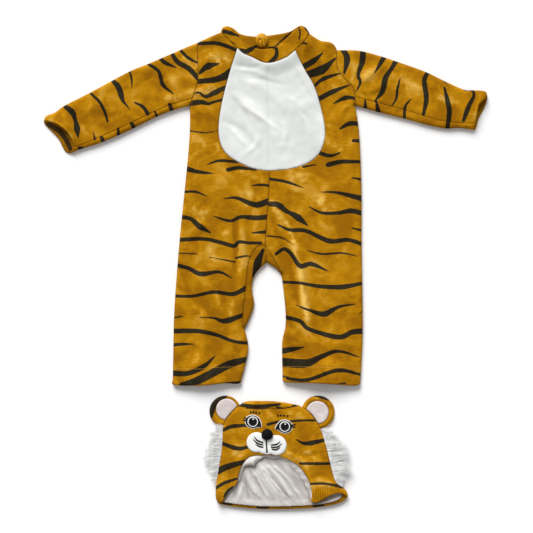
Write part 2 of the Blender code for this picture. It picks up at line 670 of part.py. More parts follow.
def rounded(edge, base, thickness, round_in):
    """A height that rises from an edge like a pad's."""

    def height(points):
        share = np.clip(nearest(points, edge)[0] / round_in, 0, 1)
        return base + thickness * (0.25 + 0.75 * np.sqrt(1 - (1 - share) ** 2))

    return height


def level(value):
    return lambda points: np.full(len(points), float(value))


def hat_lines():
    ends_on_side = {"crown_seam": (1, 1), "back_hem": (1, 1), "left_flap_hem": (1, 0), "right_flap_hem": (0, 1)}
    lines = {}
    for name, points in HAT_CURVES.items():
        lines[name] = graded(smooth_line(points, 2.0), *ends_on_side.get(name, (0, 0)))
    return lines


def hat_edge(lines):
    """The hat's whole outline, closed and anticlockwise."""
    edge = np.vstack([lines[name][:-1] for name in ("left_side", "crown", "right_side", "back_hem")])
    return edge if area(edge) > 0 else edge[::-1]


def outer_part(circle, edge, clear):
    """The part of a circle outside a closed edge: its arc, and its base along that edge, clear of it."""
    outside = ~inside(circle, edge) & (nearest(circle, np.vstack([edge, edge[:1]]))[0] > clear)
    start = int(np.flatnonzero(outside & ~np.roll(outside, 1))[0])
    arc = np.roll(circle, -start, axis=0)[np.roll(outside, -start)]
    pushed = edge + out_of(edge) * clear
    within = inside(pushed, circle)
    first = int(np.flatnonzero(within & ~np.roll(within, 1))[0])
    base = np.roll(pushed, -first, axis=0)[np.roll(within, -first)]
    if np.linalg.norm(arc[-1] - base[0]) > np.linalg.norm(arc[-1] - base[-1]):
        base = base[::-1]
    return arc, base


def build_hat_shell(lines, materials):
    sides = [np.vstack([lines["left_side"], lines["crown"][1:], lines["right_side"][1:]])[::-1]]
    tiger = materials["tiger_plush"]
    plush = plush_thickness([], [lines["crown_seam"][0], lines["crown_seam"][-1]])

    def patch(parts, upper, shift, step):
        points, faces = triangulated(Outline(lines, parts), step)
        outer, out = wall_points(points, sides, hat_top, upper, HAT_MID + shift)
        return outer, faces, out, upper

    # The back comes over the crown to the seam that joins it to the front.
    cloth_wall("hat_back", [
        patch([("left_side", "round"), ("crown", "round"), ("right_side", "round"), ("back_hem", "open")],
              False, -SEAM_GAP / 2, BACK_STEP),
        patch([("crown", "round"), ("-crown_seam", "seam")], True, -SEAM_GAP / 2, HAT_STEP),
    ], plush, tiger)
    cloth_wall("hat_front", [
        patch([("left_side", "round"), ("crown_seam", "seam"), ("right_side", "round"),
               ("-right_flap_hem", "open"), ("-arch", "open"), ("-left_flap_hem", "open")],
              True, SEAM_GAP / 2, HAT_STEP),
    ], plush, tiger)


def build_lining(lines, materials):
    """The lining on the hat's back, and the edge of the front's lining that shows in the face opening."""
    edge = hat_edge(lines)
    drawn_in = edge - out_of(edge) * LINING_INSET
    drawn_in = drawn_in[nearest(drawn_in, np.vstack([edge, edge[:1]]))[0] > LINING_INSET - LAY_GAP]
    drawn_in = evenly(np.vstack([drawn_in, drawn_in[:1]]), LINING_STEP)[:-1]
    creases = fold_points(LINING_CREASES, LINING_STEP)

    def under(points):
        return PLUSH + LAY_GAP + fold_height(points, LINING_CREASES)

    def over(points):
        return under(points) + LINING

    layer("hat_lining", plain_outline(drawn_in), 20.0, under, over, materials["white_lining"], creases)

    arch = lines["arch"]
    inward = -left_of(arch)
    share = np.linspace(0, 1, len(arch))
    turned = np.exp(-(((share - LINING_EDGE["flap_at"]) / LINING_EDGE["flap_size"]) ** 2))
    width = LINING_EDGE["width"] + LINING_EDGE["flap"] * turned
    strip = np.vstack([arch - inward * LINING_EDGE["under"], (arch + inward * width[:, None])[::-1]])
    under_front = HAT_TOP - PLUSH - LAY_GAP - LINING
    layer("lining_edge", plain_outline(strip), 30.0, level(under_front), level(under_front + LINING),
          materials["white_lining"])


def build_ears(lines, materials):
    edge = hat_edge(lines)
    edge = evenly(np.vstack([edge, edge[:1]]), 1.0)[:-1]
    for ear in EARS:
        circle = ellipse(ear["centre"], ear["radius"], ear["radius"], 180)
        arc, base = outer_part(circle, edge, LAY_GAP)
        arc = evenly(arc, 7.0)
        outline = plain_outline(np.vstack([arc, evenly(base, 4.0)]))
        layer(ear["name"], outline, 9.0, level(0.0), rounded(arc, 0.0, EAR_TOP, 5.0), materials["tiger_plush"])
        disc = ellipse(ear["inner"], ear["inner_radius"], ear["inner_radius"], 120)
        arc, base = outer_part(disc, edge, EAR_INNER_CLEAR)
        outline = plain_outline(np.vstack([evenly(arc, 6.0), evenly(base, 6.0)]))
        over_ear = EAR_TOP + LAY_GAP
        layer(ear["name"] + "_inner", outline, 9.0, level(over_ear),
              rounded(closed_line(outline), over_ear, EAR_INNER_THICK, 3.0), materials["white_plush"])


def muzzle_loop():
    """Two lobes with one outline: the outermost of both at each angle about their middle."""
    size = np.array([MUZZLE_LOBE["across"], MUZZLE_LOBE["deep"]])
    loop = []
    for angle in np.linspace(0, 2 * math.pi, 36, endpoint=False):
        ray = np.array([math.cos(angle), math.sin(angle)])
        reach = 0.0
        for side in (-1, 1):
            shift = np.array([side * MUZZLE_LOBE["out"], 0.0])
            a = ((ray / size) ** 2).sum()
            b = -2 * (ray * shift / size**2).sum()
            c = ((shift / size) ** 2).sum() - 1
            reach = max(reach, (-b + math.sqrt(max(b * b - 4 * a * c, 0))) / (2 * a))
        loop.append(face_point(ray[0] * reach, ray[1] * reach - MUZZLE_LOBE["down"]))
    return np.array(loop)


def eye_loop(eye):
    """An almond whose inner corner is drawn out."""
    loop = []
    for angle in np.linspace(0, 2 * math.pi, 22, endpoint=False):
        corner = max(0.0, math.cos(angle)) ** 6
        x = EYE_HALF[0] * math.cos(angle) + EYE_CORNER[0] * corner
        y = EYE_HALF[1] * math.sin(angle) + EYE_CORNER[1] * corner
        loop.append(face_point(eye["out"] + eye["inward"] * x, eye["up"] + y))
    loop = np.array(loop)
    return loop if area(loop) > 0 else loop[::-1]


def build_face(materials):
    base = HAT_TOP + LAY_GAP
    muzzle = plain_outline(muzzle_loop())
    muzzle_top = rounded(closed_line(muzzle), base, MUZZLE_THICK, 6.0)
    layer("muzzle", muzzle, 8.0, level(base), muzzle_top, materials["white_plush"])

    for eye in EYES:
        patch = plain_outline(eye_loop(eye))
        eye_top = rounded(closed_line(patch), base, EYE_THICK, 1.5)
        layer(eye["name"], patch, 7.0, level(base), eye_top, materials["eye_stitching"])

    def pressed(point):
        return point.x * NOSE["across"], point.y * NOSE["deep"], max(point.z, -NOSE["sink"]) * NOSE["high"]

    under = ellipse(FACE_CENTRE, NOSE["across"], NOSE["deep"], 60)
    seat = muzzle_top(under[inside(under, muzzle.points)]).max() + LAY_GAP + NOSE["sink"] * NOSE["high"]
    add_object("nose", pad_mesh("nose", 20, 10, pressed), materials["black_plush"], (*FACE_CENTRE, seat))


def build_manes(lines, materials):
    """Fur strips sewn in at the hat's sides: a strip whose outer edge is cut into tufts."""
    for name, mane in MANES.items():
        side = evenly(lines[mane["side"]], 1.0)
        outward = left_of(side)
        if mane["from_top"]:
            side, outward = side[::-1], outward[::-1]
        shares, reaches = np.array(mane["reach"]).T
        at = np.linspace(shares[0], shares[-1], 2 * MANE_TUFTS + 1)
        place = at * (len(side) - 1)
        root = np.column_stack([np.interp(place, np.arange(len(side)), side[:, k]) for k in (0, 1)])
        away = np.column_stack([np.interp(place, np.arange(len(side)), outward[:, k]) for k in (0, 1)])
        swing = np.where(np.arange(len(at)) % 2, TUFT_SWING[1], TUFT_SWING[0])
        tips = root + away * (np.interp(at, shares, reaches) * swing + 2 * MANE_ROOT)[:, None]
        loop = np.vstack([tips, (root + away * MANE_ROOT)[::-2]])
        loop = loop if area(loop) > 0 else loop[::-1]

        def top(points):
            fallen = ease((nearest(points, root)[0] - 2 * MANE_ROOT) / MANE_FALL)
            return MANE_TOP + (MANE_TIP - MANE_TOP) * fallen

        layer(name, plain_outline(loop), 9.0, level(0.0), top, materials["white_fur"])


def build_hat(materials):
    lines = hat_lines()
    build_hat_shell(lines, materials)
    build_lining(lines, materials)
    build_ears(lines, materials)
    build_face(materials)
    build_manes(lines, materials)


for old in list(bpy.data.objects):
    bpy.data.objects.remove(old)
COSTUME = bpy.data.collections.new("tiger_costume")
bpy.context.scene.collection.children.link(COSTUME)
NECK_LINE = np.vstack([
    smooth_line(SUIT_CURVES["left_neck"], 3.0)[::-1],
    smooth_line(SUIT_CURVES["bib_neck"], 3.0)[1:],
    smooth_line(SUIT_CURVES["right_neck"], 3.0)[1:],
])
MATERIALS = {name: fill_material(name) for name in COLOURS}
build_suit(MATERIALS)
build_back_tab(MATERIALS["tiger_plush"])
build_hat(MATERIALS)
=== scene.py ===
import math

import bmesh
import bpy
import numpy as np
from mathutils import Matrix, Vector
from mathutils.geometry import delaunay_2d_cdt


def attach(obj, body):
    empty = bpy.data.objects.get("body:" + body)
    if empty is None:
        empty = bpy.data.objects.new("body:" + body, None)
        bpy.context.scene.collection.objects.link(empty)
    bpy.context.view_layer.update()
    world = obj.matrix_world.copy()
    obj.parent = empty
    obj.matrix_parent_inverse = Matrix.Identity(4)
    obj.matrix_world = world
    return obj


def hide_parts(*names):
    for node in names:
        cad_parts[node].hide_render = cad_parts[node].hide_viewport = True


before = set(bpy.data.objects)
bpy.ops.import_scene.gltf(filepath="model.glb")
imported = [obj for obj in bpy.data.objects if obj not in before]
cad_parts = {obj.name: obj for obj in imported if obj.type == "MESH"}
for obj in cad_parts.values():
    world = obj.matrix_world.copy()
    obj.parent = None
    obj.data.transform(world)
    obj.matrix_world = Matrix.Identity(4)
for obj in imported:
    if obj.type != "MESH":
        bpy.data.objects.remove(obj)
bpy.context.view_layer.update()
print("frame loaded")

# Everything below is worked out in millimetres and turned into metres where a mesh is made.
mm = 0.001
pixelSize = 1.75  # what one pixel of the photo shows
photoMiddle = (266, 267)  # the pixel over the frame's origin; rows of pixels count downwards

# How the cloth is cut and lies. The CAD solids have these sizes too, but their seams are 0.4 mm wide
# where seamGap is narrower, and seamPinch, seamReach, softSeam and hemBulge are the scene's alone.
cloth = {
    "pile": 3.0,
    "hemTurn": 0.5,
    "hemDepth": 28.0,
    "collarWall": 3.4,
    "lining": 1.0,
    "seamGap": 0.16,
    "seamPinch": 0.6,
    "seamReach": 1.7,
    "softSeam": 0.3,
    "suitMiddle": 4.4,
    "hatMiddle": 5.0,
    "edgeRound": 6.5,
    "suitTop": 8.8,
    "collarTop": 13.5,
    "hatTop": 11.0,
    "hatBrimRise": 2.4,
    "leastTop": 7.0,
    "seamEndReach": 30.0,
    "seamEndThin": 0.2,
    "hemBulge": 1.1,
}
ringShares = (0.1, 0.3, 0.54, 0.78, 1.0)

suitCurves = {
    "leftSide": [(-133, 282), (-133, 240), (-136, 196), (-143, 126), (-151, 47), (-158, -40), (-161, -93),
                 (-162, -145), (-163, -197)],
    "leftHem": [(-163, -197), (-159, -205), (-116, -206), (-72, -202), (-49, -203), (-43, -197)],
    "leftCalf": [(-43, -197), (-36, -170), (-31, -142), (-34, -122), (-38, -108)],
    "leftThighFold": [(-38, -108), (-30, -93), (-21, -66), (-24, -44), (-24, -28), (-17, -10), (1, 8)],
    "leftInseam": [(-1, 38), (-14, 36), (-25, 22), (-31, 2), (-35, -36), (-39, -72), (-41, -95), (-38, -108)],
    "rightSide": [(156, 282), (162, 240), (165, 191), (167, 122), (167, 44), (168, -25), (169, -108),
                  (167, -163), (165, -198)],
    "rightHem": [(165, -198), (161, -205), (147, -206), (94, -202), (36, -200), (29, -193)],
    "rightLegEdge": [(29, -193), (28, -145), (29, -126), (34, -103), (34, -75), (30, -36), (27, -14)],
    "rightThighFold": [(27, -14), (18, -3), (1, 8)],
    "rightInseam": [(-1, 38), (5, 28), (12.5, 15.5), (20.5, 1.5), (27, -14)],
    "crotch": [(1, 8), (0, 22), (-1, 38)],
    "frontSeam": [(6, 168), (5, 128), (2, 86), (0, 58), (-1, 38)],
    "backSeam": [(0, 372), (4, 250), (4, 128), (1, 8)],
    "bibLeft": [(-50, 382), (-64, 338), (-78, 282), (-83, 240), (-78, 212), (-64, 193), (-36, 177),
                (-14, 170), (6, 168)],
    "bibRight": [(51, 378), (67, 346), (84, 316), (95, 282), (103, 243), (101, 217), (90, 195), (70, 180),
                 (40, 171), (6, 168)],
    "bibNeck": [(-50, 382), (-40, 373), (-24, 366), (-8, 358), (3, 356), (16, 358), (34, 365), (43, 371),
                (51, 378)],
    "leftNeck": [(-50, 382), (-66, 397), (-79, 410)],
    "rightNeck": [(51, 378), (66, 393), (77, 407)],
    "leftShoulder": [(-79, 410), (-98, 402), (-120, 392)],
    "rightShoulder": [(77, 407), (86, 401), (97, 395), (112, 393), (120, 387), (124, 379)],
    "leftArmhole": [(-120, 392), (-119, 359), (-119, 327), (-126, 301), (-133, 282)],
    "rightArmhole": [(124, 379), (124, 350), (132, 336), (142, 324), (154, 309), (156, 282)],
    "leftSleeveTop": [(-120, 392), (-162, 374), (-206, 355), (-240, 341), (-307, 305), (-352, 282),
                      (-369, 270), (-384, 264), (-388, 257)],
    "leftCuffBack": [(-388, 257), (-385, 249), (-363, 226), (-353, 207), (-347, 201), (-338, 200)],
    "leftCuffFront": [(-388, 257), (-370, 253), (-355, 244), (-345, 235), (-338, 223), (-335, 209)],
    "leftCuffStrip": [(-335, 209), (-338, 200)],
    "leftSleeveUnder": [(-338, 200), (-327, 205), (-287, 218), (-245, 236), (-190, 263), (-162, 274),
                        (-133, 282)],
    "leftUnderarm": [(-129, 294), (-162, 284), (-190, 273), (-245, 247), (-287, 228), (-320, 214),
                     (-335, 209)],
    "rightSleeveTop": [(124, 379), (162, 378), (195, 370), (229, 359), (279, 341), (312, 325), (346, 310),
                       (363, 309), (383, 307), (387, 299)],
    "rightCuffBack": [(387, 299), (382, 282), (371, 260), (366, 243), (361, 240)],
    "rightCuffFront": [(387, 299), (379, 292), (371, 284), (368, 274), (366, 263), (364, 250)],
    "rightCuffStrip": [(364, 250), (361, 240)],
    "rightSleeveUnder": [(361, 240), (335, 243), (315, 242), (287, 247), (243, 259), (195, 271), (156, 282)],
    "rightUnderarm": [(156, 297), (194, 287), (243, 274), (299, 257), (331, 252), (364, 250)],
    "collarFrontEdge": [(-69, 421), (-46, 396), (-25, 383), (-7, 379), (17, 382), (31, 392), (46, 408),
                        (62, 422)],
    "collarBackEdge": [(-69, 421), (-57, 416), (-44, 406), (-19, 402), (7, 404), (40, 410), (54, 418),
                       (62, 422)],
    "collarLeftEnd": [(-69, 421), (-76, 418), (-79, 410)],
    "collarRightEnd": [(62, 422), (70, 418), (77, 407)],
    "backNeck": [(-79, 410), (-50, 388), (0, 372), (50, 386), (77, 407)],
}
hatCurves = {
    "crown": [(-49, -243), (-34, -235), (-6, -234), (19, -235), (40, -238), (58, -242)],
    "rightSide": [(58, -242), (70, -249), (83, -262), (95, -282), (102, -300), (110, -329), (117, -359),
                  (123, -376), (133, -384), (141, -392), (143, -400)],
    "leftSide": [(-85, -410), (-88, -401), (-87, -376), (-83, -350), (-79, -325), (-77, -304), (-76, -283),
                 (-72, -270), (-61, -255), (-49, -243)],
    "backHem": [(143, -400), (131, -410), (104, -417), (62, -421), (-2, -422), (-44, -419), (-77, -414),
                (-85, -410)],
    "crownSeam": [(-49, -243), (-32, -246), (-12, -247), (4, -246), (15, -248), (34, -247), (58, -242)],
    "leftFlapHem": [(-85, -410), (-77, -408), (-66, -392), (-52, -378)],
    "arch": [(-52, -378), (-48, -360), (-41, -343), (-28, -330), (-4, -327.5), (20, -329), (40, -336),
             (57, -346), (69, -361), (77, -378), (80, -394), (79, -408)],
    "rightFlapHem": [(79, -408), (88, -410), (104, -402), (117, -396), (131, -394), (143, -400)],
}

# Creases of the jumpsuit's front. The first 15 rows are the large folds that the solids have too;
# the first and the eighth differ a little from theirs in width or rise.
suitCreases = [
    dict(path=[(-54, 84), (-53, 40), (-55, -6)], half=5, rise=-2.2),
    dict(path=[(-44, 84), (-42, 20), (-47, -62)], half=8, rise=3.6),
    dict(path=[(-96, -28), (-88, -58), (-78, -92)], half=9, rise=-1.6),
    dict(path=[(-66, -38), (-62, -70), (-52, -104)], half=9, rise=2.6),
    dict(path=[(40, 54), (58, -6), (76, -108)], half=8, rise=4.2),
    dict(path=[(8, 96), (24, 44), (40, -14)], half=6, rise=-1.5),
    dict(path=[(10, 112), (19, 88), (30, 58)], half=6, rise=2.6),
    dict(path=[(-44, 330), (-4, 312), (44, 276)], half=9, rise=1.5),
    dict(path=[(-50, 296), (-6, 262), (24, 214)], half=9, rise=2.4),
    dict(path=[(-112, 352), (-98, 366), (-78, 372)], half=9, rise=2.6),
    dict(path=[(-130, 302), (-104, 312), (-84, 318)], half=8, rise=2.8),
    dict(path=[(164, 318), (182, 336), (200, 350)], half=8, rise=3.0),
    dict(path=[(172, 300), (196, 314), (220, 332)], half=8, rise=2.4),
    dict(path=[(-150, 300), (-160, 320), (-172, 344)], half=9, rise=2.0),
    dict(path=[(104, 168), (108, 100), (100, 20)], half=13, rise=1.6),
    # Bib.
    dict(path=[(-51, 346), (-24, 342), (5, 332)], half=5, rise=1.5),
    dict(path=[(-70, 254), (-42, 238), (-14, 206)], half=6, rise=-1.5),
    dict(path=[(-61, 243), (-48, 226), (-33, 212)], half=4, rise=1.3),
    dict(path=[(-44, 284), (-10, 262), (24, 238)], half=4, rise=1.2),
    dict(path=[(-52, 352), (-30, 348), (-6, 352)], half=4, rise=-0.9),
    dict(path=[(-64, 300), (-44, 278), (-26, 246)], half=5, rise=-1.1),
    dict(path=[(-30, 330), (-2, 326), (30, 318)], half=4, rise=-0.9),
    dict(path=[(4, 348), (5, 280), (6, 176)], half=2.5, rise=-0.7),
    dict(path=[(26, 258), (34, 238), (32, 214)], half=5, rise=1.5),
    dict(path=[(60, 268), (72, 250), (78, 226)], half=4, rise=1.2),
    dict(path=[(-10, 236), (-18, 214), (-38, 196)], half=5, rise=1.1),
    dict(path=[(54, 340), (64, 318), (78, 296)], half=4, rise=-0.8),
    dict(path=[(28, 300), (52, 288), (70, 270)], half=6, rise=1.0),
    # Chest and shoulders.
    dict(path=[(-118, 380), (-104, 372), (-92, 352)], half=5, rise=-1.2),
    dict(path=[(-124, 326), (-112, 318), (-96, 296)], half=5, rise=-1.2),
    dict(path=[(-128, 286), (-112, 270), (-106, 238)], half=6, rise=1.6),
    dict(path=[(72, 396), (88, 378), (96, 352)], half=6, rise=1.8),
    dict(path=[(118, 372), (106, 352), (108, 326)], half=5, rise=-1.3),
    dict(path=[(100, 340), (116, 318), (136, 302)], half=7, rise=2.0),
    dict(path=[(150, 288), (134, 272), (128, 244)], half=6, rise=1.8),
    dict(path=[(150, 300), (128, 290), (112, 264)], half=5, rise=-1.2),
    dict(path=[(140, 240), (146, 210), (142, 176)], half=7, rise=1.1),
    dict(path=[(-122, 250), (-118, 214), (-124, 180)], half=7, rise=0.9),
    # Belly and hips.
    dict(path=[(-124, 160), (-92, 150), (-60, 158)], half=8, rise=0.9),
    dict(path=[(-140, 92), (-112, 84), (-82, 92)], half=8, rise=-0.9),
    dict(path=[(-66, 140), (-46, 120), (-32, 92)], half=7, rise=1.0),
    dict(path=[(14, 150), (36, 136), (62, 134)], half=7, rise=1.0),
    dict(path=[(44, 120), (72, 96), (110, 84)], half=8, rise=-0.9),
    dict(path=[(120, 60), (138, 40), (142, 6)], half=9, rise=1.2),
    dict(path=[(-18, 78), (-20, 60), (-16, 42)], half=4, rise=1.2),
    dict(path=[(-30, 60), (-28, 46), (-20, 34)], half=3, rise=-0.9),
    dict(path=[(4, 82), (12, 58), (26, 30)], half=4, rise=1.4),
    dict(path=[(14, 60), (28, 30), (36, 6)], half=4, rise=-1.1),
    # Legs.
    dict(path=[(-142, 40), (-118, 24), (-100, 0)], half=8, rise=1.2),
    dict(path=[(-116, -8), (-106, -34), (-92, -58)], half=6, rise=1.6),
    dict(path=[(-74, -44), (-72, -70), (-62, -100)], half=5, rise=-1.2),
    dict(path=[(-128, -60), (-112, -84), (-88, -104)], half=8, rise=1.3),
    dict(path=[(-138, -120), (-104, -124), (-66, -140)], half=9, rise=-1.0),
    dict(path=[(-60, -120), (-70, -146), (-92, -166)], half=7, rise=1.5),
    dict(path=[(-150, -150), (-128, -164), (-104, -164)], half=8, rise=1.1),
    dict(path=[(-50, -150), (-58, -170), (-56, -190)], half=5, rise=-1.0),
    dict(path=[(46, 20), (66, -34), (92, -96)], half=5, rise=-1.4),
    dict(path=[(104, -10), (128, -34), (150, -44)], half=9, rise=1.1),
    dict(path=[(96, -70), (122, -84), (150, -82)], half=8, rise=-0.9),
    dict(path=[(40, -60), (48, -92), (66, -118)], half=6, rise=1.6),
    dict(path=[(38, -110), (60, -128), (84, -132)], half=6, rise=1.4),
    dict(path=[(36, -140), (52, -150), (70, -148)], half=5, rise=-1.1),
    dict(path=[(110, -140), (136, -132), (158, -140)], half=8, rise=1.1),
    dict(path=[(78, -176), (110, -170), (146, -176)], half=7, rise=1.0),
    # Sleeves.
    dict(path=[(-136, 368), (-150, 348), (-148, 322)], half=6, rise=1.5),
    dict(path=[(-142, 300), (-176, 296), (-206, 304)], half=7, rise=1.4),
    dict(path=[(-190, 344), (-204, 326), (-202, 300)], half=7, rise=-1.2),
    dict(path=[(-220, 336), (-232, 314), (-226, 286)], half=7, rise=1.5),
    dict(path=[(-262, 314), (-270, 290), (-262, 264)], half=7, rise=1.2),
    dict(path=[(-244, 270), (-276, 262), (-304, 270)], half=6, rise=-1.0),
    dict(path=[(-300, 292), (-308, 270), (-302, 244)], half=6, rise=1.3),
    dict(path=[(-330, 280), (-334, 262), (-328, 240)], half=5, rise=-1.1),
    dict(path=[(-346, 276), (-352, 264), (-348, 252)], half=5, rise=1.2),
    dict(path=[(142, 366), (156, 346), (152, 322)], half=6, rise=1.8),
    dict(path=[(160, 300), (182, 300), (206, 312)], half=5, rise=-1.1),
    dict(path=[(196, 356), (206, 334), (222, 318)], half=6, rise=-1.2),
    dict(path=[(222, 344), (232, 322), (226, 298)], half=7, rise=1.4),
    dict(path=[(262, 334), (268, 310), (260, 284)], half=6, rise=1.2),
    dict(path=[(240, 290), (272, 282), (300, 288)], half=6, rise=-1.0),
    dict(path=[(296, 322), (304, 298), (298, 274)], half=6, rise=1.3),
    dict(path=[(326, 308), (332, 288), (328, 266)], half=5, rise=-1.1),
    dict(path=[(346, 302), (352, 286), (350, 268)], half=5, rise=1.2),
]
mouths = [
    dict(at=(-352, 240), reach=44, rise=7.6),
    dict(at=(372, 274), reach=42, rise=7.4),
    dict(at=(-104, -206), reach=66, rise=6.6),
    dict(at=(98, -204), reach=72, rise=10.4),  # higher than the left one, to keep this opening's box free
]
neckRiseReach = 26.0

hatRibs = {"low": (76, -412), "high": (138, -380), "size": 4.2, "rise": 0.8, "fade": 6.0}
hatCreases = [
    dict(path=[(4.3, -248), (5, -262), (3, -276)], half=8, rise=1.8),
    dict(path=[(36, -323), (64, -340), (77.5, -359)], half=4.5, rise=1.7),
    dict(path=[(-25, -321), (-44, -333), (-51, -346)], half=4.5, rise=1.3),
    dict(path=[(60, -318), (78, -322), (92, -318)], half=6, rise=1.3),
    dict(path=[(-8, -262), (-2, -276), (6, -284)], half=5, rise=1.3),
    dict(path=[(-66, -300), (-52, -312), (-40, -330)], half=6, rise=1.3),
    dict(path=[(-80, -352), (-66, -346), (-54, -352)], half=6, rise=1.2),
    dict(path=[(46, -300), (64, -310), (88, -308)], half=7, rise=1.3),
    dict(path=[(52, -328), (74, -330), (98, -322)], half=6, rise=-1.0),
    dict(path=[(70, -346), (88, -342), (106, -346)], half=6, rise=1.2),
    dict(path=[(84, -366), (100, -364), (112, -370)], half=5, rise=-1.0),
    dict(path=[(88, -386), (104, -380), (122, -384)], half=5, rise=1.4),
    dict(path=[(30, -254), (52, -258), (74, -272)], half=6, rise=1.0),
    dict(path=[(82, -404), (81, -380), (72, -356)], half=4, rise=1.6),
    dict(path=[(-78, -392), (-70, -378), (-60, -368)], half=5, rise=1.2),
]
liningCreases = [
    dict(path=[(-12.7, -344), (6, -372), (29.7, -401)], half=6.5, rise=3.2),
    dict(path=[(-2, -344), (24, -372), (46.7, -405.6)], half=4.0, rise=2.6),
    dict(path=[(10.7, -346), (38, -370), (59.4, -401)], half=3.2, rise=2.2),
    dict(path=[(-31.8, -359), (-26, -380), (-14.8, -401)], half=4.0, rise=2.0),
    dict(path=[(-23.3, -357), (-10, -380), (6.4, -405.6)], half=3.2, rise=2.4),
    dict(path=[(-40, -374), (-44, -392), (-51, -410)], half=4.0, rise=1.8),
    dict(path=[(-57, -389), (-62, -400), (-70, -410)], half=3.2, rise=1.4),
    dict(path=[(30, -338), (52, -352), (68, -376)], half=4.0, rise=1.2),
    dict(path=[(-6, -355), (8, -376), (25.5, -397)], half=2.2, rise=-2.0),
    dict(path=[(6.4, -365), (24, -384), (40, -403)], half=2.2, rise=-2.2),
    dict(path=[(-19, -365), (-12, -382), (-2, -401)], half=2.2, rise=-1.8),
    dict(path=[(-38, -364), (-34, -384), (-30, -404)], half=2.4, rise=-1.3),
]

